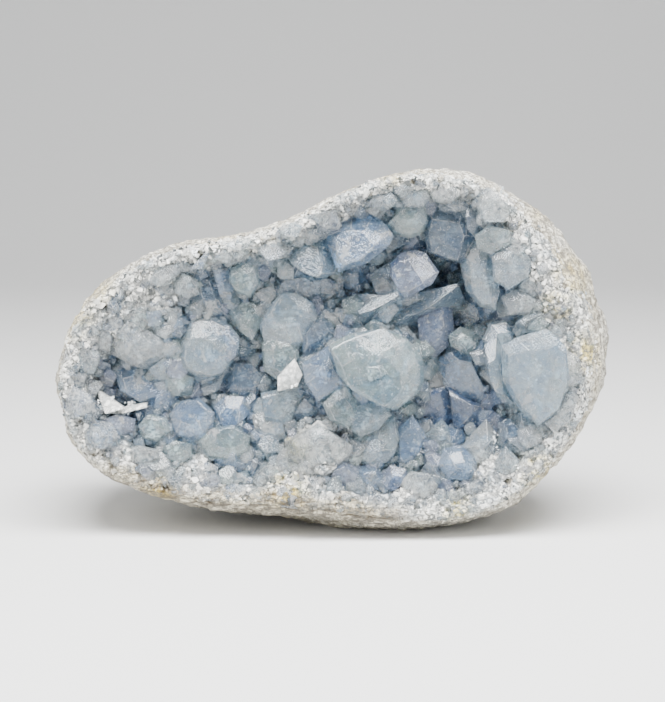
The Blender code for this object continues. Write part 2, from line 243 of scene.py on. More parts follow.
def rockRelief(place, ring):  # lumps, low ledges, pits and grains, in millimetres outwards
    strength = min(1.0, 0.15 + 0.85 * (nodule["outerRings"] - ring) / nodule["outerRings"])
    lump = 2.6 * noise.noise(place / 26.0) + 1.3 * noise.noise(place / 11.0 + Vector((7, 3, 1)))
    ledge = 0.7 * math.sin(place.z / 3.1 + 2.0 * noise.noise(place / 30.0))
    pit = -2.4 * max(0.0, noise.noise(place / 15.0 + Vector((2, 9, 4))) - 0.35) / 0.3
    grain = noise.fractal(place / 3.4, 0.9, 2.2, 3) * rock["grain"]
    near = noise.voronoi(place / 5.5)[0][0]
    holes = max(0.0, noise.noise(place / 9.0 + Vector((5, 5, 5))) + 0.25)
    crater = -rock["pit"] * max(0.0, 0.32 - near) / 0.32 * holes
    layer = 0.5 * noise.noise(Vector((place.x / 14.0, place.y / 14.0, place.z / 1.6)))
    return strength * (lump + ledge + pit) + grain + crater + layer


def makeRock():
    rows = rock["outerSteps"] + rock["hollowSteps"]
    work = bmesh.new()
    bmesh.ops.create_uvsphere(work, u_segments=rock["turnSteps"], v_segments=rows, radius=1.0)
    skin = []
    yellow = work.verts.layers.float.new("stain")
    brown = work.verts.layers.float.new("earth")
    for vert in work.verts:
        ring = rockRing(ballRow(vert, rows))
        vert.co = nodulePlace(math.atan2(vert.co.y, vert.co.x), ring)
        if ring <= nodule["outerRings"]:
            skin.append((vert, ring))
        front = max(0.0, (ring - 6.0) / 8.0)
        vert[yellow] = stainAt(vert.co.x, vert.co.z) * front
        vert[brown] = earthAt(vert.co.x, vert.co.z) * front
    faceOutwards(work)
    for vert, ring in skin:
        vert.co += vert.normal * rockRelief(vert.co.copy(), ring)
    work.transform(settleMatrix())
    cutFace(work, 0.0, (0, 0, -1))
    bmesh.ops.triangulate(work, faces=[face for face in work.faces if len(face.verts) > 4])
    return newPiece("rockShell", work, smooth=True)


# Massive layer under the crystals, sugary where it is bare and out over the rim
bed = {
    "turnSteps": 460,
    "frontSteps": 190,
    "rimSteps": 34,  # of those, the ones beyond the hollow's edge
    "backSteps": 8,
    "sunk": 2.4,  # how far it lies behind the crust's mean front where crystals cover it
    "proud": 1.6,  # how far it swells forward where it is sugary
    "grain": 1.0,
    # how far over the shoulder the white cover reaches at even turns from the right, counter-clockwise
    "cover": (0.85, 0.9, 0.95, 0.95, 0.95, 0.95, 0.9, 0.75, 0.55, 0.5, 0.35, 0.3, 0.3, 0.35, 0.5, 0.7),
    "colours": {
        # painted shade: the bed's dark colour between and beneath the crystals stands for the shade in those
        # gaps
        "paintedGapShade": (0.09, 0.14, 0.18, 1),
        "underLight": (0.66, 0.72, 0.75, 1),
        "speckDark": (0.07, 0.08, 0.07, 1),
        "speckLight": (0.96, 0.95, 0.90, 1),
        "patch": (0.34, 0.41, 0.46, 1),
        "grit": (0.11, 0.12, 0.12, 1),
    },
}


def shoulderDepth(turn, share):  # the rock's own front beyond the rim
    rim = around(nodule["rimShares"], turn)
    setback = around(nodule["rimSetbacks"], turn)
    swing = math.asin(max(0.0, min(1.0, (share - rim) / (1.0 - rim))))
    return setback + (nodule["widestDepth"] - setback) * (1.0 - math.cos(swing))


def sugarRelief(across, up):  # coarse broken lumps, chips and grains
    place = Vector((across, up, 0.0))
    lump = 1.3 * noise.noise(place / 7.0) + 0.8 * noise.noise(place / 3.4 + Vector((4, 1, 7)))
    chips = noise.voronoi(place / 4.5 + 0.25 * noise.noise_vector(place / 3.0))[0]
    cells = noise.voronoi(place / 1.9)[0]
    grain = 0.8 * (cells[1] - cells[0]) + 0.45 * noise.noise(place / 1.1)
    pit = -3.4 * max(0.0, noise.noise(place / 4.0 + Vector((9, 2, 5))) - 0.32) / 0.25
    return lump + 1.2 * (chips[1] - chips[0]) + bed["grain"] * grain + pit


def bedDepth(across, up):
    sugar = sugarAt(across, up)
    out = outShare(across, up)
    proud = bed["proud"] * min(1.0, max(0.0, 1.04 - out) / 0.12)
    deep = faceDepth(across, up) + bed["sunk"] * (1.0 - sugar) - proud * sugar
    return deep - (0.4 + 0.6 * sugar) * sugarRelief(across, up)


def bedPlace(turn, row):  # row 0 is the middle of its back, the last row the middle of its front
    radius = around(nodule["outline"], turn)
    rim = around(nodule["rimShares"], turn)
    reach = rim + around(bed["cover"], turn) * 0.8 * (1.0 - rim)
    hollowRow = bed["backSteps"] + bed["rimSteps"]
    if row <= bed["backSteps"]:
        share = reach * row / bed["backSteps"]
    elif row <= hollowRow:
        share = reach + (rim - reach) * (row - bed["backSteps"]) / bed["rimSteps"]
    else:
        share = rim * (bed["backSteps"] + bed["frontSteps"] - row) / (bed["frontSteps"] - bed["rimSteps"])
    across, up = radius * share * math.cos(turn), radius * share * math.sin(turn)
    if row < bed["backSteps"]:
        behind = wallDepth(across, up) - 0.6 if share < rim - nodule["lipShare"] else 0.0
        under = shoulderDepth(turn, share) + 1.4
        deep = max(behind, under, bedDepth(across, up) + 0.5 if share < rim else 0.0)
    elif share < rim:
        deep = bedDepth(across, up)
    else:
        over = (share - rim) / (reach - rim)
        shoulder = shoulderDepth(turn, share) - 0.9 * (1.0 - over) + 1.5 * over**3
        shoulder -= min(1.0, 1.5 * (1.0 - over)) * 0.8 * sugarRelief(across, up)
        blend = min(1.0, over / 0.35)
        atRim = bedDepth(across, up) if over < 0.35 else shoulder
        deep = (1.0 - blend) * atRim + blend * shoulder
    return Vector((across, deep, up))


def makeBed():
    rows = bed["frontSteps"] + bed["backSteps"]
    work = bmesh.new()
    bmesh.ops.create_uvsphere(work, u_segments=bed["turnSteps"], v_segments=rows, radius=1.0)
    white = work.verts.layers.float.new("sugar")
    yellow = work.verts.layers.float.new("stain")
    brown = work.verts.layers.float.new("earth")
    for vert in work.verts:
        vert.co = bedPlace(math.atan2(vert.co.y, vert.co.x), ballRow(vert, rows))
        vert[white] = sugarAt(vert.co.x, vert.co.z)
        vert[yellow] = stainAt(vert.co.x, vert.co.z)
        vert[brown] = earthAt(vert.co.x, vert.co.z)
    faceOutwards(work)
    work.transform(settleMatrix())
    return newPiece("sugarBed", work, smooth=True)


# Crystals
crystals = {
    "root": 12.0,
    "prismDegrees": 52.0,  # celestite's prism faces meet at about 76 and 104 degrees
    "edgeRounding": 0.022,
    "rimTurns": (-0.12, 0.0, 0.12),  # where each is cut off so that it stays within the rim
    "pastRim": 0.04,
    # smaller crystals grown parallel to each large one
    "partners": {
        "count": 3,
        "away": (0.5, 0.95),
        "size": (0.28, 0.5),
        "lean": (-0.06, 0.06),
        "stands": (0.3, 0.9),
        "turn": (-4, 4),
    },
    "clearShare": 0.82,
    "refraction": 1.62,
    "density": 50.0,
    "colours": {
        "cloud": (0.48, 0.62, 0.82, 1),
        "white": (0.94, 0.96, 0.96, 1),
        # painted shade: a dark band beside the white crack lines stands for the shadow of their relief
        "paintedCrackShade": (0.12, 0.17, 0.22, 1),
        "speckDark": (0.14, 0.17, 0.19, 1),
        "speckLight": (0.98, 0.98, 0.95, 1),
        "depth": (0.46, 0.68, 0.82, 1),
    },
    # the ones between: spacing, tries, half widths, stands proud, how far out, room left around the others
    "between": (
        (4.4, 5000, (3.2, 5.6), (0.4, 3.0), 0.97, 0.95),
        (3.2, 6000, (1.3, 2.6), (0.6, 2.6), 1.02, 0.78),
    ),
    "betweenForms": ("wedge", "point", "block"),
    "betweenLean": (-0.45, 0.45),
    "betweenTallness": (0.7, 1.2),
    "betweenTints": ("pale", "pale", "blue", "green", "milk", "mauve", "slate"),
    # across, up, half width, tallness, stands proud, lean right and up, turn, form, tint
    "large": (
        (31, 15.5, 15.5, 0.22, 12, (-0.25, 0.5), 28, "plate", "pale"),
        (8, 23, 6, 0.8, 3, (0.3, -0.3), 10, "wedge", "slate"),
        (68, 9.5, 5, 0.8, 6, (-0.2, 0.3), 45, "point", "pale"),
        (-4.5, -36, 12, 0.8, 4, (0.0, -0.1), 0, "lump", "milk"),
        (-33, 33.5, 6, 0.7, 3, (0.0, 0.1), 50, "wedge", "pale"),
        (-66, -1.5, 10, 0.75, 4, (0.1, -0.3), 0, "lump", "milk"),
        (-48.5, 15, 5, 0.9, 3, (-0.1, 0.1), 60, "point", "milk"),
        (-87.5, -4.5, 6, 1.0, 2, (0.0, 0.0), 30, "lump", "pale"),
    ),
}
# The clearest crystals, whose outlines were read off the front view
outlined = {
    # how far the sides fall back, as a share of the size
    "slopes": {"flat": 0.9, "peak": 0.75, "round": 0.8},
    "rootShare": 0.85,
    "seenDepth": 26.0,  # crystals deeper than this are larger than they look from
    "seenFrom": 850.0,  # this far away
    "chips": 2,
    "pointStep": 0.36,  # the points below are in steps of this many millimetres
    "pointMiddle": (333, 352),  # the hollow's middle in those steps, with the second number running down
    # tint, form, stands proud, flat share, peak, lean right and up, outline
    "crystals": (
        ("blue", "flat", 9.5, 0.55, (366, 242), (-0.1, 0.25),
         ((326, 228), (337, 217), (354, 213), (377, 216), (396, 240), (391, 250), (370, 267), (340, 277),
          (328, 249))),
        ("pale", "flat", 6.5, 0.6, (305, 262), (0.2, 0.2),
         ((290, 264), (299, 247), (318, 231), (330, 233), (334, 262), (338, 277), (327, 283), (308, 276))),
        ("slate", "flat", 3.0, 0.6, (305, 288), (0.1, -0.3),
         ((280, 288), (290, 275), (312, 274), (330, 284), (338, 300), (322, 309), (290, 304))),
        ("green", "round", 6.0, 0.5, (412, 222), (0.0, -0.1),
         ((388, 230), (398, 214), (407, 208), (428, 210), (430, 226), (422, 240), (410, 243), (394, 238))),
        ("slate", "flat", 7.5, 0.72, (447, 236), (-0.05, -0.2),
         ((429, 212), (466, 217), (470, 232), (477, 245), (464, 269), (445, 264), (429, 257), (425, 232))),
        ("slate", "flat", 5.0, 0.6, (475, 228), (0.3, -0.1),
         ((468, 211), (480, 219), (488, 229), (480, 246), (470, 236))),
        ("mauve", "flat", 17.0, 0.70, (414, 278), (0.05, 0.15),
         ((392, 269), (401, 258), (417, 254), (428, 258), (441, 277), (434, 289), (407, 304), (401, 298),
          (391, 280))),
        ("milk", "flat", 9.0, 0.55, (388, 292), (-0.2, 0.1),
         ((370, 280), (392, 267), (402, 297), (425, 304), (395, 318), (380, 302))),
        ("pale", "flat", 6.0, 0.6, (385, 312), (-0.1, 0.3),
         ((357, 299), (379, 301), (401, 314), (390, 328), (375, 327), (365, 307))),
        ("green", "flat", 4.5, 0.6, (354, 314), (0.1, 0.2),
         ((343, 304), (358, 299), (367, 308), (366, 324), (345, 322))),
        ("pale", "round", 14.0, 0.55, (480, 282), (-0.3, 0.0),
         ((464, 255), (478, 244), (490, 252), (494, 284), (502, 296), (497, 316), (481, 312), (468, 296),
          (462, 270))),
        ("green", "flat", 8.5, 0.65, (497, 243), (-0.1, -0.1),
         ((476, 240), (489, 230), (512, 236), (513, 248), (493, 259), (479, 253))),
        ("pale", "round", 7.5, 0.6, (512, 268), (0.0, 0.1),
         ((493, 261), (502, 252), (521, 250), (535, 263), (530, 282), (510, 294), (495, 285))),
        ("milk", "round", 5.0, 0.45, (498, 206), (0.0, 0.1),
         ((478, 209), (483, 194), (496, 187), (513, 194), (517, 210), (505, 226), (486, 226))),
        ("mauve", "flat", 9.0, 0.7, (436, 338), (0.25, 0.1),
         ((424, 312), (453, 300), (456, 335), (450, 352), (432, 369), (421, 347), (418, 326))),
        ("slate", "flat", 2.0, 0.6, (475, 318), (-0.3, -0.3),
         ((456, 296), (470, 296), (482, 312), (506, 325), (482, 338), (456, 337))),
        ("green", "round", 7.6, 0.62, (378, 372), (0.1, -0.05),
         ((330, 349), (344, 341), (357, 336), (386, 332), (410, 343), (425, 362), (427, 387), (418, 400),
          (399, 415), (384, 410), (352, 393), (339, 378))),
        ("green", "flat", 8.3, 0.6, (362, 352), (0.15, 0.1),
         ((337, 353), (352, 342), (378, 336), (391, 346), (384, 362), (362, 369), (343, 367))),
        ("pale", "flat", 8.4, 0.7, (398, 394), (-0.1, -0.15),
         ((371, 385), (392, 375), (419, 379), (425, 391), (413, 404), (397, 414), (380, 405))),
        ("green", "flat", 8.9, 0.7, (370, 372), (0.1, 0.0),
         ((350, 372), (360, 364), (384, 366), (390, 377), (374, 385), (356, 384))),
        ("blue", "flat", 8.3, 0.6, (402, 362), (-0.2, 0.0),
         ((390, 356), (402, 346), (416, 354), (422, 368), (410, 376), (394, 370))),
        ("blue", "peak", 10.0, 0.2, (331, 372), (0.15, 0.1),
         ((303, 368), (330, 350), (342, 366), (346, 389), (320, 406), (307, 388))),
        ("green", "round", 6.5, 0.6, (340, 408), (0.0, 0.1),
         ((322, 407), (334, 394), (347, 389), (359, 404), (359, 420), (350, 434), (331, 425))),
        ("slate", "flat", 2.5, 0.6, (308, 415), (0.0, -0.3),
         ((292, 427), (300, 412), (310, 399), (322, 414), (316, 423))),
        ("pale", "round", 6.0, 0.5, (372, 422), (0.0, 0.1),
         ((357, 410), (372, 406), (388, 409), (394, 420), (380, 435), (362, 443), (351, 434), (350, 418))),
        ("pale", "round", 4.5, 0.5, (380, 450), (0.1, 0.0),
         ((364, 443), (380, 430), (396, 420), (402, 442), (394, 466), (373, 474), (357, 463))),
        ("blue", "flat", 6.5, 0.7, (412, 446), (0.2, -0.1),
         ((399, 434), (414, 420), (423, 432), (428, 442), (421, 458), (409, 473), (400, 467))),
        ("blue", "flat", 8.5, 0.75, (460, 382), (-0.15, -0.35),
         ((432, 368), (444, 361), (456, 356), (470, 359), (490, 400), (484, 414), (449, 393), (434, 396),
          (428, 388))),
        ("deep", "flat", 5.0, 0.7, (441, 412), (0.3, -0.2),
         ((430, 396), (448, 392), (452, 407), (456, 421), (456, 449), (443, 430), (427, 436))),
        ("deep", "flat", 5.0, 0.6, (466, 420), (-0.35, -0.2),
         ((449, 393), (484, 413), (486, 428), (466, 452), (456, 450), (455, 419))),
        ("green", "peak", 10.0, 0.4, (465, 346), (0.0, 0.2),
         ((450, 341), (462, 332), (479, 338), (481, 350), (469, 361), (452, 352))),
        ("milk", "round", 6.0, 0.5, (480, 364), (0.0, 0.0),
         ((470, 358), (482, 354), (492, 360), (490, 371), (477, 371))),
        ("pale", "flat", 7.5, 0.85, (535, 378), (-0.2, -0.05),
         ((503, 350), (520, 340), (548, 331), (567, 350), (571, 383), (561, 414), (541, 431), (520, 413),
          (505, 385))),
        ("pale", "flat", 9.5, 0.5, (498, 370), (0.1, 0.1),
         ((486, 350), (499, 338), (509, 352), (507, 384), (516, 409), (499, 402), (489, 380))),
        ("milk", "flat", 4.5, 0.6, (564, 412), (-0.1, 0.1),
         ((546, 428), (561, 410), (572, 390), (581, 401), (572, 426), (556, 437))),
        ("milk", "flat", 4.0, 0.6, (576, 372), (-0.1, 0.1),
         ((567, 352), (582, 362), (585, 386), (571, 393))),
        ("pale", "peak", 8.0, 0.15, (443, 436), (0.0, 0.2),
         ((424, 444), (433, 434), (444, 425), (450, 432), (455, 450), (438, 454))),
        ("milk", "peak", 8.0, 0.15, (489, 448), (-0.1, 0.2),
         ((462, 455), (475, 439), (489, 424), (500, 441), (497, 463), (481, 475))),
        ("blue", "peak", 6.5, 0.3, (462, 468), (0.0, 0.15),
         ((440, 470), (445, 454), (463, 450), (479, 465), (481, 482), (466, 486), (449, 484))),
        ("pale", "peak", 4.5, 0.2, (508, 466), (0.0, 0.2),
         ((496, 468), (508, 451), (522, 465), (517, 481), (502, 483))),
        ("chip", "flat", 3.5, 0.6, (322, 434), (0.1, 0.3),
         ((309, 434), (319, 425), (332, 428), (335, 438), (324, 445), (312, 443))),
        ("pale", "round", 8.0, 0.55, (210, 350), (-0.1, 0.1),
         ((177, 358), (179, 336), (188, 321), (213, 321), (230, 329), (241, 342), (240, 356), (232, 366),
          (226, 378), (212, 383), (198, 382), (182, 373))),
        ("blue", "flat", 9.0, 0.7, (230, 350), (-0.3, 0.0),
         ((216, 329), (230, 330), (241, 345), (239, 361), (228, 369), (218, 355), (214, 340))),
        ("green", "flat", 9.2, 0.7, (211, 365), (0.0, -0.1),
         ((200, 357), (210, 351), (222, 356), (225, 372), (214, 380), (202, 375))),
        ("green", "round", 6.5, 0.6, (247, 283), (0.0, 0.05),
         ((232, 272), (246, 265), (259, 270), (262, 288), (252, 302), (238, 297), (230, 285))),
        ("green", "flat", 4.0, 0.7, (248, 322), (0.1, 0.3),
         ((227, 315), (240, 308), (270, 307), (263, 329), (254, 346), (242, 337))),
        ("pale", "round", 7.5, 0.55, (284, 322), (0.0, 0.1),
         ((260, 330), (271, 310), (283, 297), (300, 297), (315, 308), (321, 326), (306, 350), (285, 353),
          (265, 346))),
        ("slate", "flat", 4.0, 0.6, (322, 340), (0.1, -0.1),
         ((303, 345), (316, 328), (332, 326), (340, 342), (330, 352), (305, 366))),
        ("green", "round", 7.0, 0.6, (282, 358), (0.0, 0.1),
         ((263, 348), (275, 340), (291, 339), (300, 352), (301, 362), (288, 373), (279, 385), (265, 376))),
        ("chip", "peak", 10.5, 0.45, (292, 376), (0.0, 0.2),
         ((279, 381), (296, 363), (304, 379), (299, 391), (279, 396))),
        ("pale", "flat", 5.5, 0.65, (284, 410), (0.1, 0.15),
         ((262, 398), (280, 394), (302, 390), (310, 400), (300, 414), (288, 432), (266, 428))),
        ("slate", "flat", 2.5, 0.65, (213, 296), (0.1, -0.2),
         ((197, 278), (217, 277), (222, 294), (230, 322), (214, 322), (202, 304))),
        ("pale", "round", 5.5, 0.5, (187, 290), (0.0, 0.1),
         ((174, 288), (184, 277), (199, 284), (201, 299), (189, 303), (176, 298))),
        ("milk", "flat", 4.0, 0.7, (166, 280), (0.0, 0.2),
         ((147, 284), (161, 270), (184, 266), (182, 277), (169, 290), (149, 290))),
        ("blue", "round", 3.0, 0.5, (198, 260), (0.0, 0.1),
         ((186, 261), (188, 252), (198, 245), (209, 248), (211, 259), (204, 273), (192, 274))),
        ("pale", "peak", 3.0, 0.3, (224, 256), (0.1, 0.1),
         ((212, 246), (222, 242), (236, 264), (228, 268), (214, 262))),
        ("milk", "flat", 4.0, 0.6, (276, 252), (0.1, 0.3),
         ((256, 252), (276, 236), (297, 250), (287, 262), (268, 266))),
        ("pale", "flat", 3.5, 0.6, (291, 231), (0.0, 0.2),
         ((278, 230), (290, 221), (305, 230), (299, 241), (284, 240))),
        ("blue", "flat", 3.5, 0.7, (226, 286), (0.3, 0.0),
         ((213, 270), (233, 267), (236, 285), (232, 306), (222, 303), (219, 286))),
        ("blue", "round", 6.0, 0.6, (140, 388), (0.0, 0.2),
         ((115, 376), (128, 370), (150, 376), (165, 387), (168, 400), (142, 408), (121, 396))),
        ("mauve", "flat", 4.5, 0.6, (109, 382), (-0.1, 0.0),
         ((99, 378), (111, 372), (119, 382), (113, 393), (101, 391))),
        ("slate", "flat", 2.0, 0.8, (128, 402), (0.0, -0.4),
         ((106, 395), (117, 390), (142, 404), (147, 411), (126, 412))),
        ("chip", "flat", 7.0, 0.9, (108, 408), (0.0, 0.4),
         ((96, 393), (127, 413), (107, 419))),
        ("chip", "flat", 5.5, 0.85, (130, 412), (0.0, 0.4),
         ((108, 419), (126, 412), (149, 407), (148, 413), (124, 419))),
        ("mauve", "flat", 3.0, 0.6, (76, 406), (0.0, 0.1),
         ((61, 398), (74, 390), (92, 400), (98, 416), (78, 422), (64, 414))),
        ("blue", "peak", 4.5, 0.3, (97, 438), (0.0, 0.3),
         ((78, 436), (92, 424), (112, 428), (122, 444), (104, 454), (86, 452))),
        ("mauve", "flat", 4.5, 0.65, (120, 430), (0.0, 0.3),
         ((102, 426), (118, 419), (137, 424), (134, 438), (116, 440))),
        ("green", "round", 4.5, 0.6, (155, 432), (0.0, 0.1),
         ((139, 430), (150, 419), (168, 423), (172, 436), (158, 447), (142, 443))),
        ("blue", "round", 5.5, 0.6, (192, 424), (0.0, 0.1),
         ((169, 420), (182, 406), (202, 404), (216, 418), (214, 436), (196, 447), (176, 440))),
        ("green", "round", 4.0, 0.6, (178, 455), (0.0, 0.1),
         ((164, 453), (176, 445), (193, 449), (194, 462), (180, 469), (167, 464))),
        ("milk", "flat", 3.5, 0.65, (142, 461), (0.0, 0.1),
         ((124, 458), (138, 450), (158, 454), (162, 464), (146, 472), (130, 470))),
        ("green", "round", 5.5, 0.6, (225, 448), (0.0, 0.1),
         ((199, 446), (212, 433), (234, 430), (252, 442), (250, 458), (230, 466), (208, 462))),
        ("blue", "flat", 4.0, 0.6, (233, 418), (0.0, 0.1),
         ((214, 412), (226, 401), (246, 402), (252, 418), (240, 432), (220, 430))),
        ("milk", "flat", 5.0, 0.5, (270, 430), (0.1, 0.1),
         ((253, 420), (268, 416), (286, 428), (288, 446), (272, 444), (256, 434))),
        ("slate", "flat", 3.5, 0.7, (244, 384), (-0.1, 0.2),
         ((228, 368), (252, 368), (266, 384), (260, 400), (238, 403), (223, 396))),
        ("green", "flat", 3.0, 0.6, (180, 388), (0.0, 0.1),
         ((162, 384), (178, 375), (196, 381), (194, 400), (174, 402))),
        ("milk", "flat", 3.5, 0.6, (212, 392), (-0.1, 0.1),
         ((199, 390), (212, 384), (225, 380), (221, 395), (204, 402))),
        ("pale", "round", 6.0, 0.55, (499, 343), (0.0, 0.1),
         ((484, 344), (492, 328), (508, 325), (516, 340), (506, 358), (490, 360))),
        ("milk", "round", 5.0, 0.55, (520, 304), (0.0, 0.1),
         ((502, 302), (514, 292), (536, 294), (542, 308), (530, 320), (510, 320))),
        ("slate", "flat", 4.5, 0.6, (510, 438), (0.0, 0.0),
         ((500, 428), (512, 424), (522, 434), (518, 450), (503, 448))),
        ("milk", "round", 3.5, 0.5, (533, 440), (0.0, 0.1),
         ((520, 434), (532, 428), (546, 434), (544, 448), (528, 454), (519, 446))),
        ("milk", "round", 4.5, 0.6, (420, 492), (0.0, 0.1),
         ((401, 488), (412, 476), (430, 478), (440, 490), (434, 504), (412, 508))),
        ("deep", "flat", 3.0, 0.6, (396, 482), (0.0, 0.0),
         ((380, 482), (392, 470), (408, 474), (412, 486), (398, 496), (384, 494))),
        ("pale", "round", 3.5, 0.5, (415, 198), (0.0, 0.2),
         ((400, 200), (410, 190), (426, 190), (432, 202), (424, 212), (406, 212))),
        ("milk", "round", 3.0, 0.5, (447, 196), (0.0, 0.1),
         ((431, 198), (440, 187), (458, 188), (463, 200), (452, 208), (436, 207))),
        ("slate", "round", 2.5, 0.5, (458, 208), (0.1, 0.0),
         ((447, 210), (456, 201), (470, 204), (472, 214), (456, 217))),
        ("pale", "round", 3.5, 0.5, (385, 202), (0.0, 0.1),
         ((370, 204), (380, 194), (396, 196), (400, 206), (390, 214), (374, 213))),
        ("pale", "flat", 3.0, 0.5, (320, 219), (0.0, 0.2),
         ((308, 220), (318, 209), (332, 211), (334, 220), (322, 229))),
    ),
}
tints = {
    "pale": (0.62, 0.73, 0.77),
    "blue": (0.42, 0.56, 0.74),
    "green": (0.54, 0.66, 0.64),
    "mauve": (0.46, 0.52, 0.68),
    "slate": (0.28, 0.38, 0.49),
    "deep": (0.23, 0.33, 0.53),
    "milk": (0.82, 0.86, 0.85),
    "chip": (0.96, 0.94, 0.86),  # opaque cream chips
}
creamChips = {
    "colours": {
        "dull": (0.66, 0.69, 0.68, 1),
        "white": (0.97, 0.96, 0.91, 1),
        "grit": (0.20, 0.22, 0.22, 1),
    },
}


def slopeFace(work, slopeDegrees, turnDegrees, reach, length):  # a face leaning back from the tip
    slope, turn = math.radians(slopeDegrees), math.radians(turnDegrees)
    normal = Vector((math.sin(slope) * math.cos(turn), math.sin(slope) * math.sin(turn), math.cos(slope)))
    cutFace(work, math.sin(slope) * reach + math.cos(slope) * length, normal)


def shapeCrystal(form, length, rng):  # one crystal about +Z with half width 1 and its tip at length
    work = bmesh.new()
    bar = Matrix.Translation((0, 0, 0.45 * length)) @ Matrix.Diagonal((2.0, 2.0, 1.1 * length, 1.0))
    bmesh.ops.create_cube(work, size=1.0, matrix=bar)
    prism = math.radians(crystals["prismDegrees"])
    for right in (-1, 1):
        for above in (-1, 1):
            if form != "plate":
                cutFace(work, rng.uniform(0.70, 0.90), (right * math.cos(prism), above * math.sin(prism), 0))
    if form == "wedge":  # one broad face, a steep one behind it and cut ends
        slopeFace(work, rng.uniform(20, 32), 0, rng.uniform(0.15, 0.4), length)
        slopeFace(work, rng.uniform(48, 60), 180, rng.uniform(0.2, 0.45), length)
        for side in (80, 275):
            slopeFace(work, rng.uniform(45, 58), side + rng.uniform(-12, 12), rng.uniform(0.5, 0.75), length)
        slopeFace(work, rng.uniform(38, 50), rng.uniform(20, 60), rng.uniform(0.5, 0.7), length)
    elif form == "point":  # four faces meeting off the middle, one of them the largest
        slopeFace(work, rng.uniform(28, 36), rng.uniform(-10, 20), rng.uniform(0.0, 0.15), length)
        for side in (95, 185, 280):
            slopeFace(work, rng.uniform(46, 58), side + rng.uniform(-12, 12), rng.uniform(0.1, 0.35), length)
        slopeFace(work, rng.uniform(42, 52), 140 + rng.uniform(-15, 15), rng.uniform(0.3, 0.5), length)
    elif form == "lump":  # rounded by many faces
        slopeFace(work, rng.uniform(4, 10), rng.uniform(0, 360), 0.0, length)
        for step in range(5):
            side = 72 * step + rng.uniform(-14, 14)
            slopeFace(work, rng.uniform(24, 34), side, rng.uniform(0.30, 0.5), length)
            slopeFace(work, rng.uniform(50, 62), side + 36, rng.uniform(0.62, 0.80), length)
    elif form == "plate":
        for side in (45, 135, 225, 315):
            slopeFace(work, rng.uniform(40, 60), side, rng.uniform(0.8, 1.15), length)
    else:  # a block with a flat end and cut edges
        slopeFace(work, rng.uniform(5, 14), rng.uniform(0, 360), 0.0, length)
        for side in (0, 90, 180, 270):
            slopeFace(work, rng.uniform(42, 62), side + rng.uniform(-15, 15), rng.uniform(0.55, 0.9), length)
        for side in (45, 225):
            if rng.random() < 0.6:
                slope = rng.uniform(30, 45)
                slopeFace(work, slope, side + rng.uniform(-20, 20), rng.uniform(0.6, 0.85), length)
    return work


def mapFaces(work):  # lays each face out along the crystal's length, so that streaks follow it
    layer = work.loops.layers.uv.new("streaks")
    for face in work.faces:
        sideways = face.normal.cross(Vector((0, 0, 1)))
        if sideways.length < 0.2:
            sideways = Vector((1, 0, 0))
        sideways.normalize()
        along = face.normal.cross(sideways)
        for loop in face.loops:
            loop[layer].uv = (loop.vert.co.dot(sideways), loop.vert.co.dot(along))


def finishCrystal(work, matrix, across, up, size, tint, rng):  # rounds, marks and places one crystal
    rounding = max(crystals["edgeRounding"], 0.12 / size)
    bevelled = bmesh.ops.bevel(work, geom=work.edges[:], offset=rounding, offset_type="OFFSET",
                               affect="EDGES", segments=1, profile=0.5, material=-1)
    work.normal_update()
    mapFaces(work)
    finish = work.loops.layers.float_color.new("finish")
    marks = work.loops.layers.float_color.new("marks")
    edges = set(bevelled["faces"])
    shade = rng.uniform(0.92, 1.06)
    colour = [channel * shade for channel in tints[tint]]
    frost = 1.0 if tint == "chip" else sugarAt(across, up)
    own = rng.random()
    for face in work.faces:
        for loop in face.loops:
            loop[finish] = (*colour, 1.0)
            # red marks the rounded edges, where the crystal material paints a highlight
            loop[marks] = (1.0 if face in edges else 0.0, frost, own, 1.0)
    work.transform(matrix)
    for offset in crystals["rimTurns"]:
        out = math.atan2(up, across) + offset
        reach = around(nodule["outline"], out) * (around(nodule["rimShares"], out) + crystals["pastRim"])
        cutFace(work, reach, (math.cos(out), 0, math.sin(out)))
    faceOutwards(work)
    return toMesh("crystal", work)


def growCrystal(across, up, halfWidth, tallness, stands, lean, turn, form, tint, rng):
    pointsTo = Vector((lean[0], -1.0, lean[1])).normalized()
    low = min(1.0, max(0.3, (up + 62.0) / 20.0))  # the lower lip leans forward, so they stand lower there
    tip = Vector((across, faceDepth(across, up) - stands * low, up))
    toRim = rimRadius(math.atan2(up, across)) - math.hypot(across, up)
    root = max(4.0, min(max(crystals["root"], 1.6 * stands), 3.0 + 0.6 * toRim))
    length = max(1.0, (stands + root) / halfWidth)
    work = shapeCrystal(form, length, rng)
    shape = Matrix.Diagonal((halfWidth, halfWidth * tallness, halfWidth, 1.0))
    facing = pointsTo.to_track_quat("Z", "Y").to_matrix().to_4x4()
    place = Matrix.Translation(tip - pointsTo * length * halfWidth)
    matrix = place @ facing @ Matrix.Rotation(math.radians(turn), 4, "Z") @ shape
    return finishCrystal(work, matrix, across, up, halfWidth, tint, rng)


def pointPlace(point):  # across and up of an outline's point
    step, middle = outlined["pointStep"], outlined["pointMiddle"]
    return Vector((step * (point[0] - middle[0]), step * (middle[1] - point[1])))


def outlineCorners(outline):  # its corners, their middle and its mean reach
    corners = [pointPlace(point) for point in outline]
    middle = sum(corners, Vector((0, 0))) / len(corners)
    return corners, middle, sum((corner - middle).length for corner in corners) / len(corners)


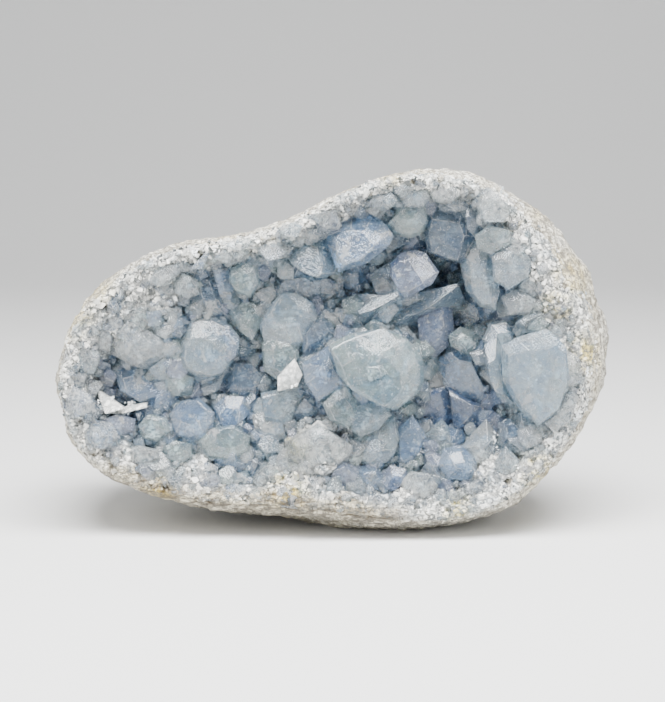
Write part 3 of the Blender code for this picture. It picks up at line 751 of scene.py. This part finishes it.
def growOutlined(row, rng):  # a crystal whose outline was read off the front view
    tint, form, stands, share, peak, lean, outline = row
    corners, middle, size = outlineCorners(outline)
    peak = pointPlace(peak)
    deep = faceDepth(*middle) - stands
    toRim = rimRadius(math.atan2(middle.y, middle.x)) - middle.length
    root = min(crystals["root"], 2.0 + 0.5 * max(0.0, toRim)) / size
    slope = outlined["slopes"][form] * (1.0 - share)
    corners = [(corner - middle) / size for corner in corners]
    peak = (peak - middle) / size
    if form != "peak":
        turn = rng.uniform(0.0, math.tau)
        peak += 0.75 * Vector((math.cos(turn), math.sin(turn)))
    lean = (lean[0] + rng.uniform(-0.12, 0.12), lean[1] + rng.uniform(-0.10, 0.14))
    levels = [(0.0, outlined["rootShare"], -slope - root), (0.0, 1.0, -slope), (1.0, share, 0.0)]
    if form == "round":
        levels.append((1.0, 0.80 + 0.20 * share, -0.55 * slope))
    work = bmesh.new()
    for towardsPeak, scale, height in levels:
        centre = peak * towardsPeak
        for corner in corners:
            place = centre + (corner - centre) * scale
            work.verts.new((place.x, place.y, height - lean[0] * place.x - lean[1] * place.y))
    hull = bmesh.ops.convex_hull(work, input=work.verts[:])
    inner = set(hull["geom_interior"] + hull["geom_unused"])
    inner = [piece for piece in inner if isinstance(piece, bmesh.types.BMVert)]
    bmesh.ops.delete(work, geom=inner, context="VERTS")
    bmesh.ops.dissolve_limit(work, angle_limit=math.radians(3), verts=work.verts[:], edges=work.edges[:])
    faceOutwards(work)
    for _ in range(outlined["chips"]):
        turn = rng.uniform(0.0, math.tau)
        steep = rng.uniform(0.45, 0.9)
        normal = Vector((steep * math.cos(turn), steep * math.sin(turn), 1.0)).normalized()
        furthest = max(vert.co.dot(normal) for vert in work.verts)
        cutFace(work, furthest - rng.uniform(0.03, 0.12), normal)
    grown = 1.0 + (deep - outlined["seenDepth"]) / outlined["seenFrom"]
    place = Matrix.Translation((middle.x * grown, deep, middle.y * grown))
    matrix = place @ Matrix.Rotation(math.radians(90), 4, "X") @ Matrix.Scale(size * grown, 4)
    return finishCrystal(work, matrix, middle.x, middle.y, size, tint, rng)


def insideOutline(across, up, margin=0.0):
    step, centre = outlined["pointStep"], outlined["pointMiddle"]
    spot = Vector((across / step + centre[0], centre[1] - up / step))
    for row in outlined["crystals"]:
        outline = row[6]
        middle = sum((Vector(point) for point in outline), Vector((0, 0))) / len(outline)
        inside = False
        grown = [middle + (Vector(point) - middle) * (1.0 + margin) for point in outline]
        for here, after in zip(grown, grown[1:] + grown[:1]):
            if (here.y > spot.y) != (after.y > spot.y):
                cross = here.x + (spot.y - here.y) / (after.y - here.y) * (after.x - here.x)
                inside = inside != (spot.x < cross)
        if inside:
            return True
    return False


def evenPlaces(rng, spacing, tries, clearance, outer):
    places = []
    for _ in range(tries):
        turn = rng.uniform(0.0, math.tau)
        out = math.sqrt(rng.random()) * outer
        across, up = hollowSpot(turn, out)
        clear = all(math.hypot(across - row[0], up - row[1]) > clearance * row[2]
                    for row in crystals["large"])
        apart = all(math.dist((across, up), other) > spacing for other in places)
        if clear and apart and not insideOutline(across, up, clearance - 1.0):
            places.append((across, up))
    return places


def growAll():
    rng = random.Random(38)
    grown = [growOutlined(row, rng) for row in outlined["crystals"]]
    partners = crystals["partners"]
    for across, up, halfWidth, tallness, stands, lean, turn, form, tint in crystals["large"]:
        grown.append(growCrystal(across, up, halfWidth, tallness, stands, lean, turn, form, tint, rng))
        for _ in range(partners["count"]):
            side = rng.uniform(0.0, math.tau)
            out = rng.uniform(*partners["away"]) * halfWidth
            width = halfWidth * rng.uniform(*partners["size"])
            leaning = (lean[0] + rng.uniform(*partners["lean"]), lean[1] + rng.uniform(*partners["lean"]))
            grown.append(growCrystal(
                across + out * math.cos(side), up + out * math.sin(side) * tallness, width, tallness,
                stands * rng.uniform(*partners["stands"]), leaning, turn + rng.uniform(*partners["turn"]),
                form, tint, rng))
    for spacing, tries, sizes, proud, outer, clearance in crystals["between"]:
        for across, up in evenPlaces(rng, spacing, tries, clearance, outer):
            lean = (rng.uniform(*crystals["betweenLean"]), rng.uniform(*crystals["betweenLean"]))
            form = rng.choice(crystals["betweenForms"])
            tint = rng.choice(crystals["betweenTints"])
            grown.append(growCrystal(
                across, up, rng.uniform(*sizes), rng.uniform(*crystals["betweenTallness"]),
                rng.uniform(*proud), lean, rng.uniform(0, 180), form, tint, rng))
    white = [mesh for mesh, row in zip(grown, outlined["crystals"]) if row[0] == "chip"]
    clear = [mesh for mesh in grown if mesh not in white and len(mesh.vertices) > 3]
    return clear, white


def meshBox(mesh):
    points = [vert.co for vert in mesh.vertices]
    low = [min(point[axis] for point in points) for axis in range(3)]
    high = [max(point[axis] for point in points) for axis in range(3)]
    return low, high


def clearOf(one, other):
    return any(one[1][axis] < other[0][axis] or other[1][axis] < one[0][axis] for axis in range(3))


def mergeCrystals(name, grown):  # joins crystals that don't touch, then unites those sets one by one
    sets = []
    for mesh in grown:
        box = meshBox(mesh)
        for members, boxes in sets:
            if all(clearOf(box, other) for other in boxes):
                members.append(mesh)
                boxes.append(box)
                break
        else:
            sets.append(([mesh], [box]))
    joined = []
    for number, (members, boxes) in enumerate(sets):
        work = bmesh.new()
        for mesh in members:
            work.from_mesh(mesh)
        joined.append(newPiece(f"set{number}", work))
    whole = joined[0]
    whole.name = name
    for other in joined[1:]:
        union = whole.modifiers.new("union", "BOOLEAN")
        union.operation = "UNION"
        union.solver = "MANIFOLD"
        union.object = other
        united = bpy.data.meshes.new_from_object(whole.evaluated_get(bpy.context.evaluated_depsgraph_get()))
        whole.modifiers.clear()
        whole.data = united
        bpy.data.objects.remove(other)
    for mesh in grown:
        bpy.data.meshes.remove(mesh)
    whole.data.validate()
    whole.data.transform(settleMatrix())
    print(name, "from", len(sets), "sets", len(whole.data.polygons), "faces")
    return whole


# Grains and flat chips of broken crystal on the rim and the white patches
grains = {
    "shapes": 16,
    "count": 15000,
    "smallest": 0.3,
    "largest": 1.7,
    "colours": {
        "dark": (0.07, 0.08, 0.08, 1),
        "light": (0.97, 0.96, 0.90, 1),
        "patch": (0.42, 0.49, 0.54, 1),
        "grit": (0.15, 0.15, 0.14, 1),
    },
}


def grainShapes(rng):  # a few chipped blocks that every grain and flake is a copy of
    shapes = []
    for number in range(grains["shapes"]):
        work = bmesh.new()
        bmesh.ops.create_cube(work, size=1.5)
        work.transform(Matrix.Diagonal((1.0, rng.uniform(0.6, 1.0), rng.uniform(0.35, 0.8), 1.0)))
        for _ in range(4):
            normal = Vector((rng.uniform(-1, 1), rng.uniform(-1, 1), rng.uniform(-0.7, 0.7)))
            cutFace(work, rng.uniform(0.3, 0.6), normal)
        faceOutwards(work)
        shapes.append(toMesh(f"grain{number}", work))
    return shapes


def grainSpot(rng):  # a spot on the rim's shoulder or a sugary patch, and the grain's size
    turn = rng.uniform(0.0, math.tau)
    size = grains["smallest"] + (grains["largest"] - grains["smallest"]) * rng.random() ** 3
    if rng.random() < 0.35:
        cover = around(bed["cover"], turn)
        row = bed["backSteps"] + bed["rimSteps"] * rng.random()
        place = bedPlace(turn, row)
        if noise.noise(place / 6.0) < 0.35 - cover:
            return None
        return place, size * 0.7
    out = math.sqrt(rng.uniform(0.0, 1.0))
    across, up = hollowSpot(turn, out)
    if rng.random() > sugarAt(across, up):
        return None
    return Vector((across, bedDepth(across, up), up)), size


def makeGrains():
    rng = random.Random(7)
    shapes = grainShapes(rng)
    work = bmesh.new()
    for name in ("tone", "stain", "earth"):
        work.verts.layers.float.new(name)
    for _ in range(grains["count"]):
        spot = grainSpot(rng)
        if spot is None:
            continue
        place, size = spot
        tilt = Matrix.Rotation(math.radians(90 + rng.gauss(0, 28)), 4, "X")
        sway = Matrix.Rotation(rng.gauss(0, 0.5), 4, "Z")
        spin = sway @ tilt @ Matrix.Rotation(rng.uniform(0, math.tau), 4, "Z")
        mesh = rng.choice(shapes).copy()
        mesh.transform(Matrix.Translation(place) @ spin @ Matrix.Scale(size, 4))
        shade, stain, earth = rng.random(), stainAt(place.x, place.z), earthAt(place.x, place.z)
        for name, amount in (("tone", shade), ("stain", stain), ("earth", earth)):
            mesh.attributes.new(name, "FLOAT", "POINT")
            for value in mesh.attributes[name].data:
                value.value = amount
        work.from_mesh(mesh)
        bpy.data.meshes.remove(mesh)
    for mesh in shapes:
        bpy.data.meshes.remove(mesh)
    work.transform(settleMatrix())
    return newPiece("rimGrains", work)


# White veils inside the larger crystals, each a scatter of thin flakes in one plane
veils = {
    "smallestCrystal": 4.5,  # crystals of a smaller mean reach have none
    "planes": 3,
    "flakes": 26,
    "reach": 0.48,  # as a share of the crystal's size
    "flakeSize": (0.18, 0.75),
    "colours": {
        "dull": (0.72, 0.78, 0.80, 1),
        "white": (0.95, 0.96, 0.94, 1),
    },
}


def makeVeils():
    rng = random.Random(19)
    shapes = grainShapes(rng)
    work = bmesh.new()
    for row in outlined["crystals"]:
        stands = row[2]
        middle, size = outlineCorners(row[6])[1:]
        if size < veils["smallestCrystal"]:
            continue
        for _ in range(veils["planes"]):
            offset = Vector((rng.uniform(-0.35, 0.35), rng.uniform(0.30, 0.65), rng.uniform(-0.35, 0.35)))
            centre = Vector((middle.x, faceDepth(*middle) - stands, middle.y)) + offset * size
            normal = Vector((rng.gauss(0, 0.6), -1.0, rng.gauss(0, 0.6)))
            facing = normal.to_track_quat("Z", "Y").to_matrix().to_4x4()
            for _ in range(int(veils["flakes"] * rng.uniform(0.4, 1.0))):
                away = veils["reach"] * size * math.sqrt(rng.random()) * rng.uniform(0.4, 1.0)
                turn = rng.gauss(0.0, 1.2)
                spot = Matrix.Translation((away * math.cos(turn), away * math.sin(turn), rng.gauss(0, 0.08)))
                flake = Matrix.Scale(rng.uniform(*veils["flakeSize"]), 4) @ Matrix.Diagonal((1, 1, 0.12, 1))
                mesh = rng.choice(shapes).copy()
                mesh.transform(Matrix.Translation(centre) @ facing @ spot
                               @ Matrix.Rotation(rng.uniform(0, math.tau), 4, "Z") @ flake)
                work.from_mesh(mesh)
                bpy.data.meshes.remove(mesh)
    for mesh in shapes:
        bpy.data.meshes.remove(mesh)
    work.transform(settleMatrix())
    return newPiece("innerVeils", work)


# Materials
def newMaterial(name, roughness=0.5):
    made = bpy.data.materials.new(name)
    made.use_nodes = True
    shader = made.node_tree.nodes["Principled BSDF"]
    shader.inputs["Roughness"].default_value = roughness
    return made, made.node_tree, shader


def feed(tree, socket, value):  # a plain value, or another node's output
    if isinstance(value, bpy.types.NodeSocket):
        tree.links.new(value, socket)
    else:
        socket.default_value = value


def addNode(tree, kind, **settings):  # settings name the node's own choices and its inputs
    node = tree.nodes.new(kind)
    for name, value in settings.items():
        if name in node.inputs:
            feed(tree, node.inputs[name], value)
        else:
            setattr(node, name, value)
    return node


def placeOf(tree):
    return addNode(tree, "ShaderNodeTexCoord").outputs["Object"]


def attributeOf(tree, name, output="Fac"):
    return addNode(tree, "ShaderNodeAttribute", attribute_name=name).outputs[output]


def mixColour(tree, share, first, second, blend="MIX"):
    mix = addNode(tree, "ShaderNodeMix", data_type="RGBA", blend_type=blend)
    for number, value in ((0, share), (6, first), (7, second)):
        feed(tree, mix.inputs[number], value)
    return mix.outputs[2]


def mathNode(tree, operation, first, second):
    node = addNode(tree, "ShaderNodeMath", operation=operation)
    feed(tree, node.inputs[0], first)
    feed(tree, node.inputs[1], second)
    return node.outputs[0]


def vectorNode(tree, operation, first, second):
    node = addNode(tree, "ShaderNodeVectorMath", operation=operation)
    feed(tree, node.inputs[0], first)
    feed(tree, node.inputs["Scale" if operation == "SCALE" else 1], second)
    return node.outputs[0]


def rampOf(tree, source, low, high, dark=0.0, light=1.0):  # maps low..high to dark..light, clamped
    node = addNode(tree, "ShaderNodeMapRange", Value=source)
    for name, value in (("From Min", low), ("From Max", high), ("To Min", dark), ("To Max", light)):
        node.inputs[name].default_value = value
    return node.outputs["Result"]


def noiseOf(tree, place, scale, detail=4.0, roughness=0.6, distortion=0.0):
    return addNode(tree, "ShaderNodeTexNoise", Vector=place, Scale=scale, Detail=detail,
                   Roughness=roughness, Distortion=distortion).outputs["Fac"]


def patchesOf(tree, place, grain, *spread):  # noise of that grain, spread out by a ramp
    return rampOf(tree, noiseOf(tree, place, *grain), *spread)


def roughen(tree, shader, height, strength, distance):
    bump = addNode(tree, "ShaderNodeBump", Strength=strength, Distance=distance, Height=height)
    tree.links.new(bump.outputs["Normal"], shader.inputs["Normal"])


# Effects that several materials share, each a node group
effectColours = {
    "iron": (0.82, 0.68, 0.26, 1),
    "brown": (0.11, 0.085, 0.05, 1),
    "cream": (0.66, 0.60, 0.45, 1),
    "grey": (0.14, 0.15, 0.15, 1),
}
effects = {}


def useEffect(tree, name, **values):
    return addNode(tree, "ShaderNodeGroup", node_tree=effects[name], **values).outputs


def newEffect(name, inputs, outputs):
    group = bpy.data.node_groups.new(name, "ShaderNodeTree")
    for way, sockets in (("INPUT", inputs), ("OUTPUT", outputs)):
        for socket, kind in sockets.items():
            group.interface.new_socket(name=socket, in_out=way, socket_type=f"NodeSocket{kind}")
    given = group.nodes.new("NodeGroupInput")
    result = group.nodes.new("NodeGroupOutput")
    effects[name] = group
    return group, given.outputs, result.inputs


def makeBentCracks():  # distance to the nearest crack of a wavy crack net
    tree, given, result = newEffect(
        "bentCracks", {"Place": "Vector", "Cracks": "Float", "Waves": "Float", "Bend": "Float"},
        {"Distance": "Float", "Bent Place": "Vector"})
    wobble = addNode(tree, "ShaderNodeTexNoise", Vector=given["Place"], Scale=given["Waves"], Detail=3.0)
    short = vectorNode(tree, "SCALE", wobble.outputs["Color"], given["Bend"])
    bent = vectorNode(tree, "ADD", given["Place"], short)
    cracks = addNode(tree, "ShaderNodeTexVoronoi", feature="DISTANCE_TO_EDGE", Vector=bent,
                     Scale=given["Cracks"])
    tree.links.new(cracks.outputs["Distance"], result["Distance"])
    tree.links.new(bent, result["Bent Place"])


def makeGrit():  # fine dark pits and cracks over a colour
    tree, given, result = newEffect(
        "grit", {"Place": "Vector", "Colour": "Color", "Dark": "Color", "Strength": "Float"},
        {"Colour": "Color", "Height": "Float"})
    pits = patchesOf(tree, given["Place"], (480.0, 6.0, 0.80), 0.44, 0.49, 1.0, 0.0)
    cracks = useEffect(tree, "bentCracks", Place=given["Place"], Cracks=330.0, Waves=300.0, Bend=0.006)
    line = rampOf(tree, cracks["Distance"], 0.02, 0.10, 0.75, 0.0)
    grit = mathNode(tree, "MAXIMUM", line, pits)
    share = mathNode(tree, "MULTIPLY", grit, given["Strength"])
    tree.links.new(mixColour(tree, share, given["Colour"], given["Dark"]), result["Colour"])
    tree.links.new(mathNode(tree, "SUBTRACT", 1.0, grit), result["Height"])


def makeIronStain():  # yellow, broken up by noise
    tree, given, result = newEffect(
        "ironStain", {"Place": "Vector", "Colour": "Color", "Share": "Float"}, {"Colour": "Color"})
    broken = patchesOf(tree, given["Place"], (240.0, 5.0, 0.7), 0.42, 0.58)
    share = mathNode(tree, "MULTIPLY", given["Share"], broken)
    stained = mixColour(tree, share, given["Colour"], effectColours["iron"], "MULTIPLY")
    tree.links.new(stained, result["Colour"])


def makeLayers():  # cream, brown and grey layers lying flat
    tree, given, result = newEffect(
        "rockLayers", {"Place": "Vector", "Colour": "Color", "Share": "Float"}, {"Colour": "Color"})
    flat = vectorNode(tree, "MULTIPLY", given["Place"], (0.2, 0.2, 1.0))
    layers = patchesOf(tree, flat, (520.0, 6.0, 0.72, 0.8), 0.42, 0.58)
    greyed = patchesOf(tree, given["Place"], (210.0, 5.0, 0.65, 0.4), 0.54, 0.62, 0.0, 0.6)
    layered = mixColour(tree, layers, effectColours["brown"], effectColours["cream"])
    layered = mixColour(tree, greyed, layered, effectColours["grey"])
    tree.links.new(mixColour(tree, given["Share"], given["Colour"], layered), result["Colour"])


def makeSpecks():  # broken specks, from dark through to light
    tree, given, result = newEffect(
        "specks", {"Place": "Vector", "Scale": "Float", "Dark": "Color", "Light": "Color"},
        {"Colour": "Color", "Glitter": "Float"})
    cells = addNode(tree, "ShaderNodeTexVoronoi", Vector=given["Place"], Scale=given["Scale"])
    split = addNode(tree, "ShaderNodeSeparateColor", Color=cells.outputs["Color"])
    light = rampOf(tree, split.outputs["Red"], 0.05, 0.30)
    tree.links.new(mixColour(tree, light, given["Dark"], given["Light"]), result["Colour"])
    tree.links.new(split.outputs["Green"], result["Glitter"])


def weather(tree, place, colour):  # the earthy band's layers, then the iron stains
    layered = useEffect(tree, "rockLayers", Place=place, Colour=colour, Share=attributeOf(tree, "earth"))
    stained = useEffect(tree, "ironStain", Place=place, Colour=layered["Colour"],
                        Share=attributeOf(tree, "stain"))
    return stained["Colour"]


def addGrit(tree, shader, place, colour, dark, strength):  # over the colour; gives the height for a bump
    gritty = useEffect(tree, "grit", Place=place, Colour=colour, Dark=dark, Strength=strength)
    tree.links.new(gritty["Colour"], shader.inputs["Base Color"])
    return gritty["Height"]


def rockMaterial():
    made, tree, shader = newMaterial("rockSkin", 0.85)
    place = placeOf(tree)
    colours = rock["colours"]
    broad = patchesOf(tree, place, (60.0, 6.0), 0.3, 0.62)
    stains = patchesOf(tree, place, (38.0, 5.0, 0.55), 0.56, 0.70, 0.0, 0.5)
    colour = mixColour(tree, broad, colours["dull"], colours["pale"])
    colour = mixColour(tree, stains, colour, colours["stain"])
    colour = useEffect(tree, "rockLayers", Place=place, Colour=colour, Share=rock["layers"])["Colour"]
    colour = weather(tree, place, colour)
    height = addGrit(tree, shader, place, colour, colours["grit"], 0.8)
    roughen(tree, shader, height, 0.8, 0.0007)
    return made


def sugarMaterial():
    made, tree, shader = newMaterial("sugarLayer", 0.45)
    place = placeOf(tree)
    colours = bed["colours"]
    veins = patchesOf(tree, place, (220.0, 6.0, 0.6, 0.8), 0.42, 0.66)
    patches = patchesOf(tree, place, (170.0, 5.0, 0.65, 0.5), 0.50, 0.62, 0.0, 0.7)
    specks = useEffect(tree, "specks", Place=place, Scale=1250.0, Dark=colours["speckDark"],
                       Light=colours["speckLight"])
    sugar = mixColour(tree, patches, specks["Colour"], colours["patch"])
    # where crystals cover the bed, its colour is painted shade in the gaps, broken by pale veins
    under = mixColour(tree, veins, colours["paintedGapShade"], colours["underLight"])
    colour = mixColour(tree, attributeOf(tree, "sugar"), under, sugar)
    colour = weather(tree, place, colour)
    height = addGrit(tree, shader, place, colour, colours["grit"], 0.85)
    roughen(tree, shader, height, 0.8, 0.0008)
    return made


def grainMaterial():
    made, tree, shader = newMaterial("sugarGrains", 0.35)
    place = placeOf(tree)
    colours = grains["colours"]
    patches = patchesOf(tree, place, (170.0, 5.0, 0.65, 0.5), 0.50, 0.64, 0.0, 0.6)
    tone = rampOf(tree, attributeOf(tree, "tone"), 0.15, 0.5)
    colour = mixColour(tree, tone, colours["dark"], colours["light"])
    colour = mixColour(tree, patches, colour, colours["patch"])
    colour = weather(tree, place, colour)
    addGrit(tree, shader, place, colour, colours["grit"], 0.35)
    return made


def veilMaterial():
    made, tree, shader = newMaterial("whiteVeils", 0.3)
    colours = veils["colours"]
    mottle = patchesOf(tree, placeOf(tree), (500.0, 3.0), 0.4, 0.6)
    tree.links.new(mixColour(tree, mottle, colours["dull"], colours["white"]), shader.inputs["Base Color"])
    return made


def chipMaterial():
    made, tree, shader = newMaterial("whiteChips", 0.35)
    place = placeOf(tree)
    colours = creamChips["colours"]
    broad = patchesOf(tree, place, (240.0, 4.0), 0.35, 0.60)
    colour = mixColour(tree, broad, colours["dull"], colours["white"])
    height = addGrit(tree, shader, place, colour, colours["grit"], 0.55)
    roughen(tree, shader, height, 0.7, 0.0006)
    return made


def crystalMaterial():
    made, tree, shader = newMaterial("clearCelestite")
    place = placeOf(tree)
    colours = crystals["colours"]
    streakMap = addNode(tree, "ShaderNodeUVMap", uv_map="streaks").outputs["UV"]
    tint = attributeOf(tree, "finish", "Color")
    marks = attributeOf(tree, "marks", "Color")  # red on edges, green where frosted, blue its own number
    split = addNode(tree, "ShaderNodeSeparateColor", Color=marks)
    edge, frost = split.outputs["Red"], split.outputs["Green"]
    shift = vectorNode(tree, "SCALE", marks, 37.0)
    stretched = vectorNode(tree, "MULTIPLY", streakMap, (9.0, 1.1, 1.0))
    streaks = noiseOf(tree, vectorNode(tree, "ADD", stretched, shift), 1.6, 5.0, 0.65, 0.3)
    milky = noiseOf(tree, place, 190.0, 8.0, 0.68, 0.9)
    cloud = patchesOf(tree, place, (120.0, 5.0, 0.65, 0.6), 0.42, 0.58, 0.0, 0.75)
    flecks = patchesOf(tree, place, (700.0, 4.0, 0.7, 0.5), 0.58, 0.64, 0.0, 0.9)
    # Cracks, white along their lines, with painted shade beside them
    cracks = useEffect(tree, "bentCracks", Place=place, Cracks=230.0, Waves=260.0, Bend=0.005)
    crackLine = rampOf(tree, cracks["Distance"], 0.02, 0.05, 1.0, 0.0)
    crackShare = mathNode(tree, "MAXIMUM", rampOf(tree, milky, 0.5, 0.62, 0.0, 0.5),
                          mathNode(tree, "MULTIPLY", frost, 0.9))
    crack = mathNode(tree, "MULTIPLY", crackLine, crackShare)
    # painted shade: a dark band beside each crack line, standing for the shadow of its relief
    crackShade = rampOf(tree, cracks["Distance"], 0.05, 0.16, 0.75, 0.0)
    crackShade = mathNode(tree, "MULTIPLY", crackShare, crackShade)
    crackShade = mathNode(tree, "MULTIPLY", crackShade, mathNode(tree, "SUBTRACT", 1.0, crackLine))
    # White from veils, cracks, growth streaks and flecks, and a painted highlight along the rounded edges
    # that is partly their chipped white
    # painted highlight: white on the rounded edges stands for light caught along them, partly chipped white,
    # broken up by noise
    edgeChipAndHighlight = mathNode(tree, "MULTIPLY", edge, rampOf(tree, milky, 0.40, 0.60, 0.0, 0.8))
    growth = rampOf(tree, streaks, 0.55, 0.75, 0.0, 0.45)
    white = rampOf(tree, milky, 0.54, 0.70, 0.0, 0.7)
    for more in (crack, growth, edgeChipAndHighlight, flecks):
        white = mathNode(tree, "MAXIMUM", white, more)
    # Crushed patches of specks
    frostPatch = patchesOf(tree, place, (300.0, 6.0, 0.7, 0.4), 0.42, 0.60, 0.1, 1.0)
    innerPatch = patchesOf(tree, place, (110.0, 5.0, 0.6, 0.4), 0.60, 0.66, 0.0, 0.85)
    crushed = mathNode(tree, "MAXIMUM", mathNode(tree, "MULTIPLY", frost, frostPatch), innerPatch)
    specks = useEffect(tree, "specks", Place=cracks["Bent Place"], Scale=900.0,
                       Dark=colours["speckDark"], Light=colours["speckLight"])
    colour = mixColour(tree, cloud, tint, colours["cloud"], "MULTIPLY")
    colour = mixColour(tree, white, colour, colours["white"])
    colour = mixColour(tree, crushed, colour, specks["Colour"])
    # lays the painted shade beside the cracks over the colour
    colour = mixColour(tree, crackShade, colour, colours["paintedCrackShade"])
    tree.links.new(colour, shader.inputs["Base Color"])
    cloudy = mathNode(tree, "MAXIMUM", white, crushed)
    tree.links.new(rampOf(tree, cloudy, 0.0, 1.0, 0.06, 0.42), shader.inputs["Roughness"])
    shader.inputs["Transmission Weight"].default_value = crystals["clearShare"]
    shader.inputs["IOR"].default_value = crystals["refraction"]
    fine = noiseOf(tree, place, 380.0, 3.0, 0.5)
    height = mathNode(tree, "ADD", fine, mathNode(tree, "MULTIPLY", streaks, 0.8))
    height = mathNode(tree, "ADD", height, mathNode(tree, "MULTIPLY", specks["Glitter"], crushed))
    roughen(tree, shader, height, 0.5, 0.0004)
    absorb = addNode(tree, "ShaderNodeVolumeAbsorption", Color=colours["depth"], Density=crystals["density"])
    tree.links.new(absorb.outputs["Volume"], tree.nodes["Material Output"].inputs["Volume"])
    return made


# Stage
studio = {
    "floor": (0.80, 0.80, 0.79, 1),
    "distance": 0.85,
    "elevationDegrees": 8.0,
    "target": (0.0, -0.020, 0.0625),
    "framedWidth": 0.2394,
    "skyColour": (0.80, 0.84, 0.90, 1),
    "sky": 0.22,
    # place, size, watts
    "softboxes": {
        "topSoftbox": ((0.05, -0.28, 0.75), (0.75, 0.50), 29.5),
        "leftSoftbox": ((-0.65, -0.55, 0.40), (0.7, 0.8), 7.0),
        "rightSoftbox": ((0.70, -0.50, 0.30), (0.5, 0.7), 4.0),
    },
    "softboxTarget": (0, 0, 0.06),
}


def makeFloor():
    work = bmesh.new()
    bmesh.ops.create_grid(work, x_segments=1, y_segments=1, size=1.0)
    back = [edge for edge in work.edges if all(vert.co.y > 0.9 for vert in edge.verts)]
    raised = bmesh.ops.extrude_edge_only(work, edges=back)
    for vert in (item for item in raised["geom"] if isinstance(item, bmesh.types.BMVert)):
        vert.co.z += 1.2
    bend = [edge for edge in work.edges
            if all(abs(vert.co.y - 1.0) < 0.01 and vert.co.z < 0.01 for vert in edge.verts)]
    bmesh.ops.bevel(work, geom=bend, offset=0.5, offset_type="OFFSET", affect="EDGES", segments=16,
                    profile=0.5, material=-1)
    work.transform(Matrix.Diagonal((3.0, 1.5, 1.5, 1.0)))
    floor = newPiece("studioFloor", work, smooth=True)
    made, _, shader = newMaterial("paleFloor", 0.75)
    shader.inputs["Base Color"].default_value = studio["floor"]
    floor.data.materials.append(made)


def lightStudio():
    world = bpy.data.worlds.new("studio")
    world.use_nodes = True
    background = world.node_tree.nodes["Background"]
    background.inputs["Color"].default_value = studio["skyColour"]
    background.inputs["Strength"].default_value = studio["sky"]
    bpy.context.scene.world = world
    for name, (place, size, power) in studio["softboxes"].items():
        lamp = bpy.data.lights.new(name, "AREA")
        lamp.shape = "RECTANGLE"
        lamp.size, lamp.size_y = size
        lamp.energy = power
        made = bpy.data.objects.new(name, lamp)
        made.location = place
        aim = Vector(studio["softboxTarget"]) - Vector(place)
        made.rotation_euler = aim.to_track_quat("-Z", "Y").to_euler()
        bpy.context.scene.collection.objects.link(made)


def aimCamera():
    camera = bpy.data.cameras.new("camera")
    camera.sensor_fit = "HORIZONTAL"
    camera.sensor_width = 36.0
    camera.lens = 36.0 * studio["distance"] / studio["framedWidth"]
    made = bpy.data.objects.new("camera", camera)
    up = math.radians(studio["elevationDegrees"])
    towards = Vector((0, -math.cos(up), math.sin(up)))
    made.location = Vector(studio["target"]) + towards * studio["distance"]
    made.rotation_euler = (-towards).to_track_quat("-Z", "Y").to_euler()
    bpy.context.scene.collection.objects.link(made)
    bpy.context.scene.camera = made


def dress(piece, material, node):  # one piece of the geode, and the node it stands for
    piece.data.materials.clear()
    piece.data.materials.append(material)
    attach(piece, "root")
    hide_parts(node)
    print(piece.name, "made", len(piece.data.polygons), "faces")


aimCamera()
makeFloor()
lightStudio()
print("stage set")
for makeEffect in (makeBentCracks, makeGrit, makeIronStain, makeLayers, makeSpecks):
    makeEffect()
print("effects made")
dress(makeRock(), rockMaterial(), "rock_rind")
dress(makeBed(), sugarMaterial(), "crystal_crust")
dress(makeGrains(), grainMaterial(), "crystal_crust")
dress(makeVeils(), veilMaterial(), "crystal_crust")
clearOnes, chipOnes = growAll()
dress(mergeCrystals("whiteChips", chipOnes), chipMaterial(), "crystal_crust")
dress(mergeCrystals("clearCrystals", clearOnes), crystalMaterial(), "crystal_crust")
